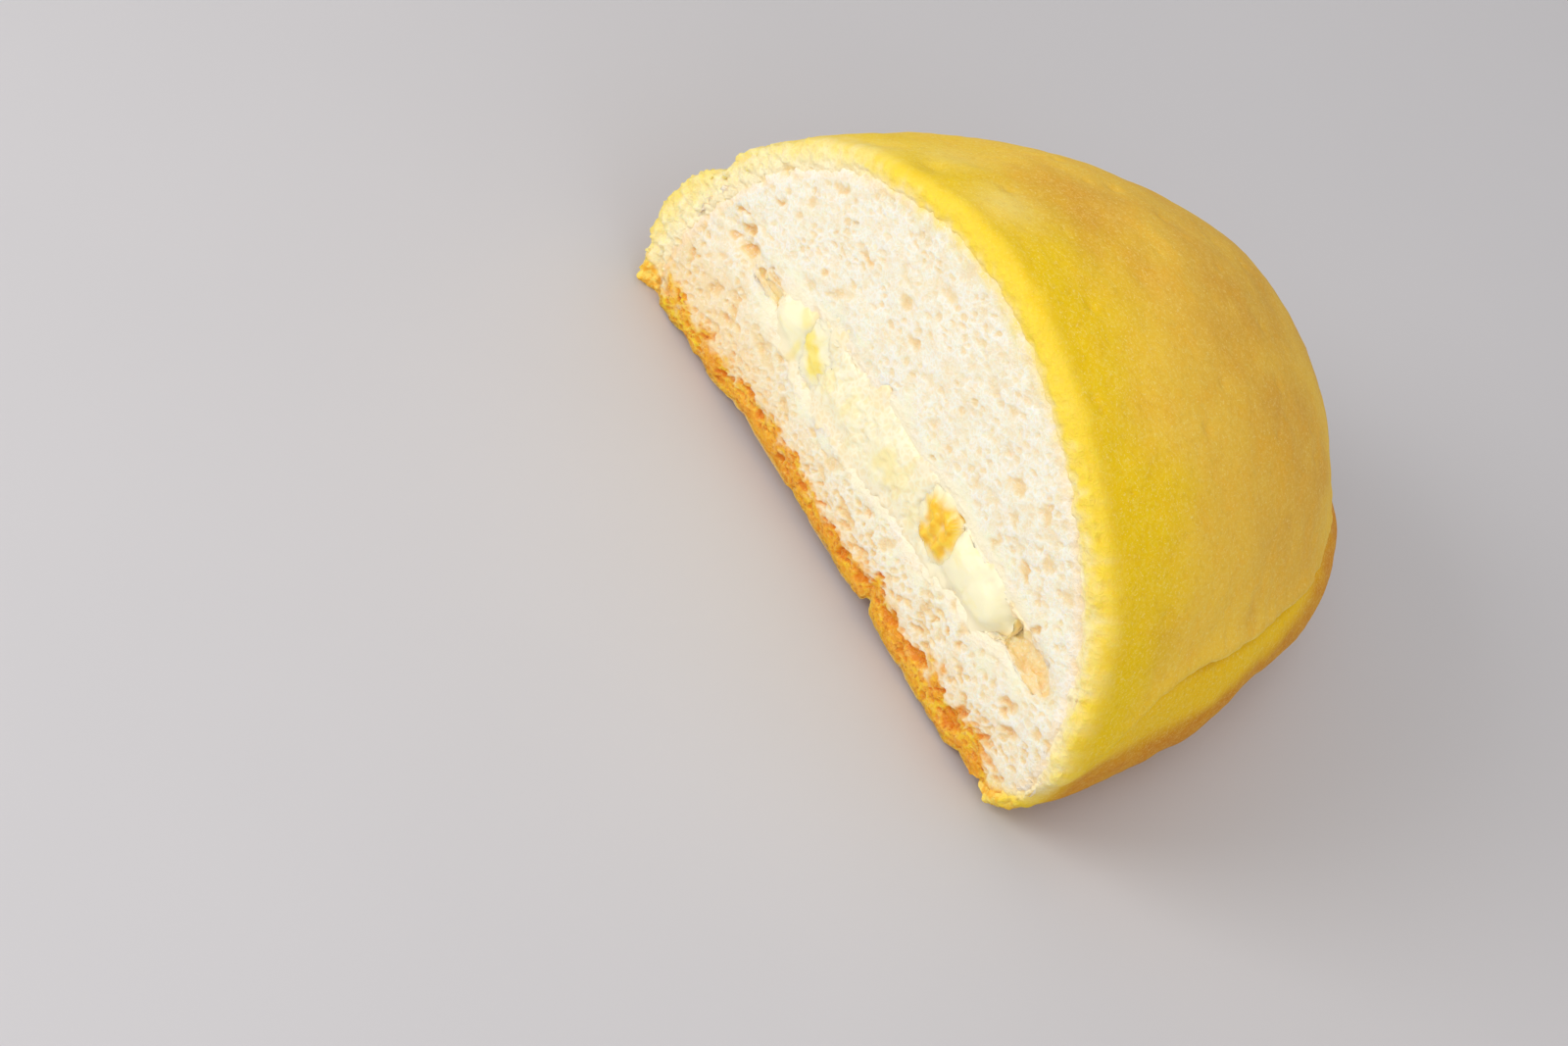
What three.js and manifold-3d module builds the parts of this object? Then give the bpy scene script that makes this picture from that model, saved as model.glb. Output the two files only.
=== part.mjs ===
// Half of an oblong lemon cream bun, cut across its middle and standing on its baked base.
// Millimetres, +Z up. The cut face looks along -Y and the rounded end of the bun along +Y.
// Each layer is first made as a whole closed bun, mirrored about the cut, and a knife then
// takes the near half away, so that the crumb, coat, cream and peel all end on one flat cut.

import * as THREE from "three";
import { mergeVertices } from "three/addons/utils/BufferGeometryUtils.js";
import Module from "manifold-3d";

const wasm = await Module();
wasm.setup();

// Driving dimensions of the half bun.
const HEIGHT = 51.5;
const COAT = 3.4;
const GAP = 0.3;

// The sponge coat's skirt: how far it reaches on each side, the level where it is fullest,
// and how far its lower edge is tucked under, with the power of that edge's curve.
const SKIRT = { right: 43.5, far: 70.9, left: 46.1 };
const SKIRT_LEVEL = { right: 9.5, far: 10, left: 10 };
const SKIRT_ROUNDNESS = 2.05;
const TUCK = { right: 6, far: 8, left: 2 };
const TUCK_CURVE = 1.35;

// The crease where the dome overhangs the skirt: its height round the bun, and its depth.
const CREASE_HEIGHT = { right: 22.5, far: 15, left: 22.5 };
const CREASE_DEPTH = 1.1;
const CREASE_FADE = { angle: 0.14, drop: 10.5 };

// The dome: how far each side reaches from the crown at base level, and the two powers of
// its profile, where (reach share)^round + (height share)^rise = 1.
const CROWN_X = 2.2;
const PLAN_ROUNDNESS = 1.92;
const DOME = {
  height: HEIGHT,
  right: { reach: 43.2, round: 1.62, rise: 3.0 },
  far: { reach: 67, round: 2.65, rise: 2.02 },
  left: { reach: 49.6, round: 1.8, rise: 1.8 },
};

// The bread inside the coat, in the same terms.
const BREAD = {
  height: HEIGHT - COAT,
  right: { reach: 41.3, round: 1.6, rise: 2.6 },
  far: { reach: 67 - COAT, round: 2.6, rise: 2.02 },
  left: { reach: 43.6, round: 2.0, rise: 2.0 },
};
const BREAD_TUCK = { height: 12, inset: { right: 8.5, far: 8, left: 1.5 }, curve: 2 };

// Swells and dents of the baked dome: place, reach across and height over the even form.
const UNEVEN = [
  { at: [44, 0, 15.5], reach: 11, rise: 1.1 },
  { at: [-27, 20, 41], reach: 20, rise: 1.3 },
  { at: [-20, 15, 45], reach: 6, rise: -0.9 },
  { at: [-0.5, 15, 51], reach: 9, rise: -1.0 },
  { at: [-12, 27, 46], reach: 9, rise: 0.5 },
  { at: [6, 45, 41], reach: 10, rise: -0.8 },
  { at: [38, 12, 30], reach: 10, rise: 0.6 },
  { at: [-34, 34, 28], reach: 10, rise: -0.8 },
  { at: [-14, 52, 34], reach: 12, rise: 0.8 },
  { at: [39, 41, 5], reach: 8, rise: -1.6 },
  { at: [22, 66, 8], reach: 10, rise: 0.8 },
  { at: [-30, 56, 8], reach: 11, rise: -1.2 },
];
// Below this level the swells move the form sideways only, so that the base stays flat.
const FLAT_BELOW = 10;

// The cream runs from the cut towards the far end, as a flat lobed band through the crumb.
const CREAM = {
  centreX: 3.3,
  centreZ: 18.7,
  halfWidth: 25.7,
  halfHeight: 4.1,
  reach: 55,
  climb: 0.03,
  lobe: { pitch: 13, phase: 13, swell: 0.14 },
};

// Candied peel caught in the cream, each a rounded chunk that the cut has opened.
const PEELS = [
  { name: "peel_large", centre: [13.6, 1.2, 19.7], radii: [3.9, 4.4, 3.3], turn: 0.75 },
  { name: "peel_small", centre: [-14.4, 1.0, 18.2], radii: [1.9, 3.4, 3.1], turn: -0.3 },
];

// Hollows where the bread has drawn away from the cream, open at the cut.
const HOLLOWS = [
  { centre: [32.5, 0, 19.8], radii: [6.6, 7, 2.5], turn: 0.1 },
  { centre: [-28.5, 0, 18.4], radii: [8.2, 5, 1.3], turn: 0.08 },
];

// Mesh fineness.
const COAT_SIDES = 112;
const BREAD_SIDES = 80;
const CREAM_SIDES = 40;
const CHUNK_SIDES = 14;

const signedPower = (value, power) => Math.sign(value) * Math.abs(value) ** power;

// A value given for the right, far and left sides, blended smoothly round the plan angle.
function aroundPlan(sides, angle) {
  const across = Math.cos(angle);
  const end = across > 0 ? sides.right : sides.left;
  return THREE.MathUtils.lerp(sides.far, end, across * across);
}

// Distance from the crown's axis at a height, for one side of a dome.
function reachAt(side, height, z) {
  const share = THREE.MathUtils.clamp(z / height, 0, 1);
  return side.reach * (1 - share ** side.rise) ** (1 / side.round);
}

// A point of a dome's even form at a plan angle and a height.
function domePoint(form, angle, z, grow = 0) {
  const x = signedPower(Math.cos(angle), 2 / PLAN_ROUNDNESS);
  const y = signedPower(Math.sin(angle), 2 / PLAN_ROUNDNESS);
  const side = x > 0 ? form.right : form.left;
  const acrossReach = reachAt(side, form.height + grow, z) + grow;
  const farReach = reachAt(form.far, form.height + grow, z) + grow;
  const closing = z >= form.height + grow ? 0 : 1;
  return new THREE.Vector3(CROWN_X + x * acrossReach * closing, y * farReach * closing, z);
}

// A point of the skirt's fullest outline, moved inwards by an inset.
function skirtPoint(angle, z, inset) {
  const x = signedPower(Math.cos(angle), 2 / SKIRT_ROUNDNESS);
  const y = signedPower(Math.sin(angle), 2 / SKIRT_ROUNDNESS);
  const across = x > 0 ? SKIRT.right : SKIRT.left;
  return new THREE.Vector3(x * (across - inset), y * (SKIRT.far - inset), z);
}

// The crease drops away and closes where it runs into the right end of the cut.
function creaseAt(angle) {
  const fromRight = Math.min(Math.abs(angle), Math.abs(2 * Math.PI - angle));
  const fade = Math.exp(-((fromRight / CREASE_FADE.angle) ** 2));
  const z = aroundPlan(CREASE_HEIGHT, angle) - CREASE_FADE.drop * fade;
  return { z, depth: CREASE_DEPTH * (1 - fade), skirt: aroundPlan(SKIRT_LEVEL, angle) };
}

// Adds the swells and dents, along the line out of the bun's middle.
function bake(point) {
  const middle = new THREE.Vector3(0, 0, HEIGHT / 4);
  const outward = point.clone().sub(middle).normalize();
  const mirrored = new THREE.Vector3(point.x, Math.abs(point.y), point.z);
  let rise = 0;
  for (const spot of UNEVEN) {
    const away = mirrored.distanceTo(new THREE.Vector3(...spot.at)) / spot.reach;
    rise += spot.rise * Math.exp(-away * away);
  }
  outward.z *= THREE.MathUtils.smoothstep(point.z, 0, FLAT_BELOW);
  return point.add(outward.multiplyScalar(rise));
}

// Rings from the base to the crown, each a closed loop of points.
function loopOf(sides, pointAt) {
  return Array.from({ length: sides }, (_, i) => pointAt((2 * Math.PI * i) / sides));
}

// A closed body through a stack of rings, with a point in the middle of each end.
function bodyThroughRings(rings, first, last) {
  const sides = rings[0].length;
  const points = [first, ...rings.flat(), last];
  const index = [];
  const at = (ring, side) => 1 + ring * sides + (side % sides);
  for (let side = 0; side < sides; side++) {
    index.push(0, at(0, side + 1), at(0, side));
    index.push(points.length - 1, at(rings.length - 1, side), at(rings.length - 1, side + 1));
    for (let ring = 0; ring + 1 < rings.length; ring++) {
      index.push(at(ring, side), at(ring, side + 1), at(ring + 1, side + 1));
      index.push(at(ring, side), at(ring + 1, side + 1), at(ring + 1, side));
    }
  }
  return new THREE.BufferGeometry().setFromPoints(points).setIndex(index);
}

// Geometry to a solid for cutting and joining, and back.
function solidOf(geometry) {
  const bare = geometry.clone();
  bare.deleteAttribute("normal");
  bare.deleteAttribute("uv");
  const merged = mergeVertices(bare, 1e-4);
  const vertProperties = merged.attributes.position.array;
  const triVerts = new Uint32Array(merged.index.array);
  return new wasm.Manifold(new wasm.Mesh({ numProp: 3, vertProperties, triVerts }));
}

function geometryOf(solid) {
  const mesh = solid.getMesh();
  const position = new Float32Array(mesh.numVert * 3);
  for (let i = 0; i < mesh.numVert; i++) {
    const start = i * mesh.numProp;
    position.set(mesh.vertProperties.subarray(start, start + 3), i * 3);
  }
  const geometry = new THREE.BufferGeometry();
  geometry.setAttribute("position", new THREE.BufferAttribute(position, 3));
  geometry.setIndex(new THREE.BufferAttribute(mesh.triVerts, 1));
  geometry.computeVertexNormals();
  return geometry;
}

// The outer form: a rounded foot, the skirt up to the crease, then the dome to the crown.
function outerBun() {
  const footSteps = 4;
  const skirtSteps = 4;
  const domeSteps = 17;
  const lip = 1.2;
  const rings = [];
  for (let step = 0; step <= footSteps; step++) {
    const turn = (step / footSteps) * (Math.PI / 2);
    rings.push(
      loopOf(COAT_SIDES, (angle) => {
        const z = creaseAt(angle).skirt * (1 - Math.cos(turn));
        const inset = aroundPlan(TUCK, angle) * (1 - Math.sin(turn) ** TUCK_CURVE);
        return bake(skirtPoint(angle, z, inset));
      }),
    );
  }
  for (let step = 1; step <= skirtSteps; step++) {
    const share = step / skirtSteps;
    rings.push(
      loopOf(COAT_SIDES, (angle) => {
        const crease = creaseAt(angle);
        const z = THREE.MathUtils.lerp(crease.skirt, crease.z, share);
        const edge = skirtPoint(angle, z, 0);
        const under = domePoint(DOME, angle, z, -crease.depth);
        return bake(edge.lerp(under, share ** 1.6));
      }),
    );
  }
  for (let step = 0; step < domeSteps; step++) {
    const climb = Math.sin((step / domeSteps) * (Math.PI / 2));
    rings.push(
      loopOf(COAT_SIDES, (angle) => {
        const start = creaseAt(angle).z + lip;
        const z = THREE.MathUtils.lerp(start, HEIGHT, climb);
        return bake(domePoint(DOME, angle, z));
      }),
    );
  }
  const crown = bake(new THREE.Vector3(CROWN_X, 0, HEIGHT));
  return solidOf(bodyThroughRings(rings, new THREE.Vector3(0, 0, 0), crown));
}

// The bread's own form, grown by a clearance where it cuts the coat, down to a floor level.
function breadBun(grow, floor) {
  const footSteps = 4;
  const domeSteps = 13;
  const rings = [];
  for (let step = 0; step < footSteps; step++) {
    const turn = (step / footSteps) * (Math.PI / 2);
    const z = BREAD_TUCK.height * (1 - Math.cos(turn));
    rings.push(
      loopOf(BREAD_SIDES, (angle) => {
        const inset = aroundPlan(BREAD_TUCK.inset, angle) * (1 - Math.sin(turn) ** BREAD_TUCK.curve);
        return domePoint(BREAD, angle, z, grow - inset);
      }),
    );
  }
  for (let step = 0; step < domeSteps; step++) {
    const climb = Math.sin((step / domeSteps) * (Math.PI / 2));
    const z = THREE.MathUtils.lerp(BREAD_TUCK.height, BREAD.height + grow, climb);
    rings.push(loopOf(BREAD_SIDES, (angle) => domePoint(BREAD, angle, z, grow)));
  }
  if (floor < 0) {
    rings.unshift(rings[0].map((point) => point.clone().setZ(floor)));
  }
  const base = new THREE.Vector3(CROWN_X, 0, floor);
  const crown = new THREE.Vector3(CROWN_X, 0, BREAD.height + grow);
  return solidOf(bodyThroughRings(rings, base, crown));
}

// The cream band: flat oval sections along Y that swell in lobes and close at both ends.
function creamBand(grow) {
  const steps = 16;
  const { centreX, centreZ, halfWidth, halfHeight, reach, climb, lobe } = CREAM;
  const rings = [];
  for (let step = 1; step < steps; step++) {
    const along = Math.cos((step / steps) * Math.PI);
    const fullness = (1 - along * along) ** 0.32;
    rings.push(
      loopOf(CREAM_SIDES, (angle) => {
        const across = signedPower(Math.cos(angle), 0.85) * (halfWidth * fullness + grow);
        const wave = Math.cos((2 * Math.PI * (centreX + across + lobe.phase)) / lobe.pitch);
        const half = halfHeight * fullness * (1 + lobe.swell * wave) + grow;
        const z = centreZ + climb * across + signedPower(Math.sin(angle), 0.8) * half;
        return new THREE.Vector3(centreX + across, along * (reach + grow), z);
      }),
    );
  }
  const near = new THREE.Vector3(centreX, -reach - grow, centreZ);
  const far = new THREE.Vector3(centreX, reach + grow, centreZ);
  return solidOf(bodyThroughRings(rings, far, near));
}

// A rounded chunk with soft corners, turned about the line into the cut.
function chunk({ centre, radii, turn }, grow = 0) {
  const geometry = new THREE.SphereGeometry(1, CHUNK_SIDES, CHUNK_SIDES / 2 + 1);
  geometry.scale(...radii.map((radius) => radius + grow));
  geometry.rotateY(turn);
  geometry.translate(...centre);
  return solidOf(geometry);
}

// The half-space that the knife leaves, seen from the bun's far end.
function keptSide() {
  const size = 4 * SKIRT.far;
  const box = new THREE.BoxGeometry(size, size, size);
  box.translate(0, size / 2, 0);
  return solidOf(box);
}

function material(color, roughness) {
  return new THREE.MeshStandardMaterial({ color, roughness, metalness: 0 });
}

function layer(name, solid, finish) {
  const mesh = new THREE.Mesh(geometryOf(solid), finish);
  mesh.name = name;
  return mesh;
}

const knife = keptSide();
const coat = outerBun().subtract(breadBun(GAP, -HEIGHT)).intersect(knife);

let crumb = breadBun(0, 0).subtract(creamBand(GAP));
for (const hollow of HOLLOWS) {
  crumb = crumb.subtract(chunk(hollow));
}
crumb = crumb.intersect(knife);

let cream = creamBand(0);
for (const peel of PEELS) {
  cream = cream.subtract(chunk(peel, GAP));
}
cream = cream.intersect(knife);

const half = new THREE.Group();
half.add(layer("sponge_coat", coat, material(0xe8bd3c, 0.75)));
half.add(layer("bread_crumb", crumb, material(0xf7efdc, 0.95)));
half.add(layer("lemon_cream", cream, material(0xfdf3b8, 0.45)));
for (const peel of PEELS) {
  const opened = chunk(peel).intersect(knife);
  half.add(layer(peel.name, opened, material(0xf2b01e, 0.3)));
}

// The part's origin is the middle of its footprint, on the surface it stands on.
const extent = new THREE.Box3().setFromObject(half);
const middle = extent.getCenter(new THREE.Vector3());
half.position.set(-middle.x, -middle.y, -extent.min.z);

const lemonCreamBun = new THREE.Group();
lemonCreamBun.add(half);

export default lemonCreamBun;
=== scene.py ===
"""Half of a lemon cream bun: its sponge coat, white crumb, lemon cream and candied peel."""

import logging
import math
from collections.abc import Iterator
from contextlib import contextmanager
from dataclasses import dataclass
from enum import Enum

import bmesh
import bpy
import numpy as np
from mathutils import Euler, Matrix, Vector


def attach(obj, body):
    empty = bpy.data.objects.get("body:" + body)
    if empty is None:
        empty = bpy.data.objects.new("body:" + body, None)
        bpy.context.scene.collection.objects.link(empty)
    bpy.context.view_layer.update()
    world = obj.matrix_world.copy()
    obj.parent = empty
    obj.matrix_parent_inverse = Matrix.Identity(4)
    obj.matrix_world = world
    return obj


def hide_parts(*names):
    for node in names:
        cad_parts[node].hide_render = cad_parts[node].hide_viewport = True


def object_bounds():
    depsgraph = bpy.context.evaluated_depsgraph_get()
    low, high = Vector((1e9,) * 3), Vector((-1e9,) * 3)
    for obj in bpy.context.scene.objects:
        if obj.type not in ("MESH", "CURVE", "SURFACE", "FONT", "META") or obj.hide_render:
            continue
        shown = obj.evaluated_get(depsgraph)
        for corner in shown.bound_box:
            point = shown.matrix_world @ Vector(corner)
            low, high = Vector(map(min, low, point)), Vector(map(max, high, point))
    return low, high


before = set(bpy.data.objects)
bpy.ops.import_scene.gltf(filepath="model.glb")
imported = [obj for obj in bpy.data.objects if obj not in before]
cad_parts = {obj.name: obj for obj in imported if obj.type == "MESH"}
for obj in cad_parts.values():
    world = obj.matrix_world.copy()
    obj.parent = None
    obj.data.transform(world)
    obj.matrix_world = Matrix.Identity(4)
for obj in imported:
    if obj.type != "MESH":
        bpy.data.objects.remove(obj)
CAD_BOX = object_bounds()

MM = 0.001
CUT_Y = CAD_BOX[0].y / MM
REPORT = logging.getLogger("lemon_cream_bun")
INWARD = np.array([[0.0, 1.0, 0.0]])
UPWARD = np.array([[0.0, 0.0, 1.0]])
IN_CUT = np.array([1.0, 0.0, 1.0])
CREAM_RISE = 19.0

Spot = tuple[float, float, float]
Blot = tuple[Spot, float, float]
Row = tuple[float, ...]
Colour = Row
Socket = bpy.types.NodeSocket
Piece = bpy.types.Object
Numbers = np.ndarray


def linear(red: float, green: float, blue: float) -> Colour:
    """Turns a colour as seen, from 0 to 255, into the light that a shader works with.

    Args:
        red: The red share.
        green: The green share.
        blue: The blue share.

    Returns:
        The colour in linear light, with an alpha of one.
    """
    parts = [value / 255 for value in (red, green, blue)]
    light = [p / 12.92 if p <= 0.04045 else ((p + 0.055) / 1.055) ** 2.4 for p in parts]
    return (light[0], light[1], light[2], 1.0)


def fade(value: Numbers, low: float, high: float) -> Numbers:
    """Rises smoothly from zero at the low value to one at the high one, which may be the smaller."""
    share = np.clip((value - low) / (high - low), 0.0, 1.0)
    return share * share * (3 - 2 * share)


def mound(points: Numbers, centre: Spot, reach: float) -> Numbers:
    """A soft round hill, one at its centre and about a third at its reach."""
    away = np.linalg.norm(points - np.array(centre), axis=1) / reach
    return np.exp(-away * away)


@dataclass(frozen=True)
class Lumps:
    """Smooth uneven lumps through space, with values from about minus one to one.

    Attributes:
        pitch: Size of one lump, in millimetres.
        seed: Picks the pattern.
        octaves: How many finer layers of lumps are added.
        stretch: How much longer the lumps are along each axis.
    """

    pitch: float
    seed: int
    octaves: int = 1
    stretch: Spot = (1.0, 1.0, 1.0)

    def at(self, points: Numbers) -> Numbers:
        """Reads the lumps at some places.

        Args:
            points: The places, in millimetres.

        Returns:
            One value for each place.
        """
        count = 40
        table = np.random.default_rng(self.seed).uniform(-1, 1, (count, count, count))
        turn = np.array(Euler((0.6, 0.9, 0.4 + self.seed)).to_matrix())
        base = (points / np.array(self.stretch)) @ turn.T / self.pitch
        total = np.zeros(len(points))
        weight = 1.0
        for octave in range(self.octaves):
            place = base * 2**octave + 7.3 * octave
            cell = np.floor(place).astype(int)
            part = place - cell
            part = part * part * (3 - 2 * part)
            for corner in range(8):
                step = np.array([corner & 1, corner >> 1 & 1, corner >> 2 & 1])
                near = np.where(step, part, 1 - part).prod(axis=1)
                index = (cell + step) % count
                total += weight * near * table[index[:, 0], index[:, 1], index[:, 2]]
            weight *= 0.5
        return total * 1.5


@dataclass(frozen=True)
class Foam:
    """A flat pattern of bubbles with thin walls, such as a cut crumb shows.

    Attributes:
        pitch: Distance between bubbles, in millimetres.
        seed: Picks the pattern.
        stretch: How much longer the bubbles are along the cut than up it.
        slant: Turn of the bubbles in the cut, in radians.
    """

    pitch: float
    seed: int
    stretch: float = 1.3
    slant: float = 0.0

    def at(self, across: Numbers, up: Numbers) -> tuple[Numbers, Numbers]:
        """Reads the bubbles at places in the cut.

        Args:
            across: Places along the cut.
            up: Heights in the cut.

        Returns:
            How far each place is from the bubble's wall, as a share, and the bubble's own
            chance value between zero and one.
        """
        count = 128
        dice = np.random.default_rng(self.seed)
        jitter = dice.uniform(0.05, 0.95, (count, count, 2))
        chance = dice.uniform(0, 1, (count, count))
        cosine, sine = math.cos(self.slant), math.sin(self.slant)
        flat = np.stack([cosine * across + sine * up, cosine * up - sine * across], axis=1)
        place = flat / (self.pitch * np.array([self.stretch, 1 / self.stretch]))
        cell = np.floor(place).astype(int)
        first = np.full(len(place), 9.0)
        second = np.full(len(place), 9.0)
        own = np.zeros(len(place))
        for step_x in range(-2, 3):
            for step_y in range(-2, 3):
                near = cell + (step_x, step_y)
                index = near % count
                away = np.linalg.norm(near + jitter[index[:, 0], index[:, 1]] - place, axis=1)
                closer = away < first
                second = np.where(closer, first, np.minimum(second, away))
                own = np.where(closer, chance[index[:, 0], index[:, 1]], own)
                first = np.where(closer, away, first)
        return second - first, own


@dataclass(frozen=True)
class Pore:
    """An oval pore that the knife has opened.

    Attributes:
        across: Its middle along the cut.
        up: Its middle above the base.
        length: Half its length.
        width: Half its width.
        depth: How deep it goes.
        slant: Its turn in the cut, in radians.
    """

    across: float
    up: float
    length: float
    width: float
    depth: float
    slant: float = 0.0

    def at(self, across: Numbers, up: Numbers) -> tuple[Numbers, Numbers]:
        """Depth and painted shade of the pore at places in the cut.

        Args:
            across: Places along the cut.
            up: Heights in the cut.

        Returns:
            The depth below the cut and how strongly painted shade shows inside the pore, more for
            deeper pores, zero outside it.
        """
        cosine, sine = math.cos(self.slant), math.sin(self.slant)
        along = cosine * (across - self.across) + sine * (up - self.up)
        aside = cosine * (up - self.up) - sine * (across - self.across)
        away = np.hypot(along / self.length, aside / self.width)
        bowl = np.clip(1 - away * away, 0, 1)
        # The second value is painted shade, strongest in the deepest pores.
        return self.depth * bowl**0.8, min(self.depth, 1.0) * fade(away, 1.3, 0.4)


class Outline:
    """A closed line in the cut, with a distance to it from any place."""

    def gap(self, across: Numbers, up: Numbers) -> Numbers:
        """Distance inwards from the line, which each kind of line works out."""
        raise NotImplementedError

    def outward(self, across: Numbers, up: Numbers) -> Numbers:
        """The way straight out of the line, within the cut.

        Args:
            across: Places along the cut.
            up: Heights in the cut.

        Returns:
            A direction for each place.
        """
        step = 0.05
        along = self.gap(across - step, up) - self.gap(across + step, up)
        rise = self.gap(across, up - step) - self.gap(across, up + step)
        way = np.stack([along, np.zeros(len(along)), rise], axis=1)
        return way / np.maximum(np.linalg.norm(way, axis=1), 1e-6)[:, None]


@dataclass(frozen=True)
class CreamOutline(Outline):
    """The line in the cut round the cream.

    Attributes:
        middle: Its middle, along the cut and above the base.
        half: Half its width and half its height.
        climb: How much it rises along the cut.
        wave: Length, start and strength of the swelling of its height.
    """

    middle: tuple[float, float] = (3.3, 18.7)
    half: tuple[float, float] = (25.7, 4.1)
    climb: float = 0.03
    wave: Spot = (13.0, 13.0, 0.14)

    def gap(self, across: Numbers, up: Numbers) -> Numbers:
        """Distance inwards from the line.

        Args:
            across: Places along the cut.
            up: Heights in the cut.

        Returns:
            The distance at each place, negative outside the cream.
        """
        pitch, start, swell = self.wave
        half = self.half[1] * (1 + swell * np.cos(2 * math.pi * (across + start) / pitch))
        aside = np.maximum(np.abs(across - self.middle[0]) / self.half[0], 1e-3)
        rise = up - self.middle[1] - self.climb * (across - self.middle[0])
        above = np.maximum(np.abs(rise) / half, 1e-3)
        slope = 2.4 * np.hypot(aside**1.4 / self.half[0], above**1.4 / half)
        return (1 - aside**2.4 - above**2.4) / np.maximum(slope, 0.05)


@dataclass(frozen=True)
class CrumbOutline(Outline):
    """The line in the cut where the crumb ends and the coat begins.

    Attributes:
        middle: Where the crown is along the cut.
        height: Height of the line at the crown.
        right: Reach and the two powers of the line to the right of the crown.
        left: The same to the left.
        foot: Height and inset of the rounded foot at the right end.
    """

    middle: float = 2.2
    height: float = 48.1
    right: Spot = (41.3, 1.6, 2.6)
    left: Spot = (43.6, 2.0, 2.0)
    foot: tuple[float, float] = (12.0, 8.5)

    def gap(self, across: Numbers, up: Numbers) -> Numbers:
        """Distance inwards from the line.

        Args:
            across: Places along the cut.
            up: Heights in the cut.

        Returns:
            The distance at each place, negative in the coat.
        """
        inset = self.foot[1] * np.clip(1 - up / self.foot[0], 0, 1) ** 2
        is_right = across > self.middle
        aside = np.abs(across - self.middle) + np.where(is_right, inset, 0.0)
        reach, turn, rise = (np.where(is_right, r, l) for r, l in zip(self.right, self.left))
        side = np.maximum(aside / reach, 1e-3)
        top = np.maximum(up / self.height, 1e-3)
        slope = np.hypot(turn / reach * side ** (turn - 1), rise / self.height * top ** (rise - 1))
        return (1 - side**turn - top**rise) / np.maximum(slope, 1e-3)


def cut_level(points: Numbers) -> Numbers:
    """How far the knife's uneven cut lies behind its plane, which all the pieces share."""
    flat = points * IN_CUT
    return 0.1 + 0.16 * Lumps(9, 42, 2).at(flat) + 0.06 * Lumps(2.4, 9, 2).at(flat)


def torn_gap(points: Numbers) -> Numbers:
    """Distance inwards from the slightly torn line between crumb and coat, negative in the coat."""
    flat = points * IN_CUT
    return CrumbOutline().gap(points[:, 0], points[:, 2]) + 0.5 * Lumps(1.3, 55, 2).at(flat)


def lemon_share(points: Numbers) -> Numbers:
    """How yellow the cut is about the line between crumb and coat, which both pieces share.

    Args:
        points: Places at the cut.

    Returns:
        A share for each place, zero well inside the crumb and one at the skin.
    """
    x, _, z = points.T
    shift = np.interp(x, (-38, -24, -11, 10, 20, 32, 38), (-2.6, -1.3, 0.8, 0.8, 0.0, -1.2, -1.7))
    shift += 2.6 * fade(z, 9, 4) * fade(x, 20, 30)
    ragged = 0.7 * Lumps(1.2, 15, 2).at(points * IN_CUT)
    return fade(CrumbOutline().gap(x, z) - shift + ragged, 2.2, -3.0)


class Clay:
    """A piece's points held as arrays in millimetres, so that it can be shaped by pushes."""

    def __init__(self, piece: Piece) -> None:
        """Reads the piece's points, with the depth behind the cut as their second number."""
        self.mesh = piece.data
        count = len(self.mesh.vertices)
        flat = np.empty(count * 3, np.float32)
        self.mesh.vertices.foreach_get("co", flat)
        self.points = flat.reshape(-1, 3).astype(float) / MM
        self.points[:, 1] -= CUT_Y
        self.facing = self.normals()

    def normals(self) -> Numbers:
        """Reads the way that each point faces."""
        flat = np.empty(len(self.mesh.vertices) * 3, np.float32)
        self.mesh.vertex_normals.foreach_get("vector", flat)
        return flat.reshape(-1, 3).astype(float)

    def push(self, amount: Numbers, along: Numbers | None = None) -> None:
        """Moves each point some millimetres along a direction, or the way that it faces."""
        self.points += (self.facing if along is None else along) * amount[:, None]

    def mark(self, name: str, values: Numbers) -> None:
        """Keeps a named number on each point for the finish to read."""
        layer = self.mesh.attributes.get(name) or self.mesh.attributes.new(name, "FLOAT", "POINT")
        layer.data.foreach_set("value", values.astype(np.float32))

    def settle(self) -> None:
        """Writes the points back to the piece and reads the way they face again."""
        placed = self.points.copy()
        placed[:, 1] += CUT_Y
        self.mesh.vertices.foreach_set("co", (placed * MM).astype(np.float32).ravel())
        self.mesh.update()
        self.facing = self.normals()


@contextmanager
def worked(mesh: bpy.types.Mesh) -> Iterator[bmesh.types.BMesh]:
    """Opens a mesh for mesh operators and writes it back.

    Args:
        mesh: The mesh.

    Yields:
        The open mesh.
    """
    work = bmesh.new()
    work.from_mesh(mesh)
    yield work
    work.to_mesh(mesh)
    work.free()


def added(name: str, data: bpy.types.ID) -> Piece:
    """Puts a mesh, light or camera into the scene.

    Args:
        name: The new object's name.
        data: What the object shows.

    Returns:
        The new object.
    """
    made = bpy.data.objects.new(name, data)
    bpy.context.scene.collection.objects.link(made)
    return made


def copy_of(node: str, name: str) -> Piece:
    """Copies a solid of the frame as a new piece with its loose triangles joined.

    Args:
        node: The solid's name.
        name: The new piece's name.

    Returns:
        The new piece.
    """
    mesh = bpy.data.meshes.new(name)
    with worked(mesh) as work:
        work.from_mesh(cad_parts[node].data)
        bmesh.ops.remove_doubles(work, verts=work.verts, dist=0.002 * MM)
    return added(name, mesh)


def remeshed(piece: Piece, voxel: float) -> None:
    """Gives a piece an even net of small faces.

    Args:
        piece: The piece to change.
        voxel: The size of a face, in millimetres.
    """
    even = piece.modifiers.new("even", "REMESH")
    even.mode = "VOXEL"
    even.voxel_size = voxel * MM
    layers = bpy.context.evaluated_depsgraph_get()
    mesh = bpy.data.meshes.new_from_object(piece.evaluated_get(layers))
    old = piece.data
    piece.modifiers.clear()
    piece.data = mesh
    bpy.data.meshes.remove(old)


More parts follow.
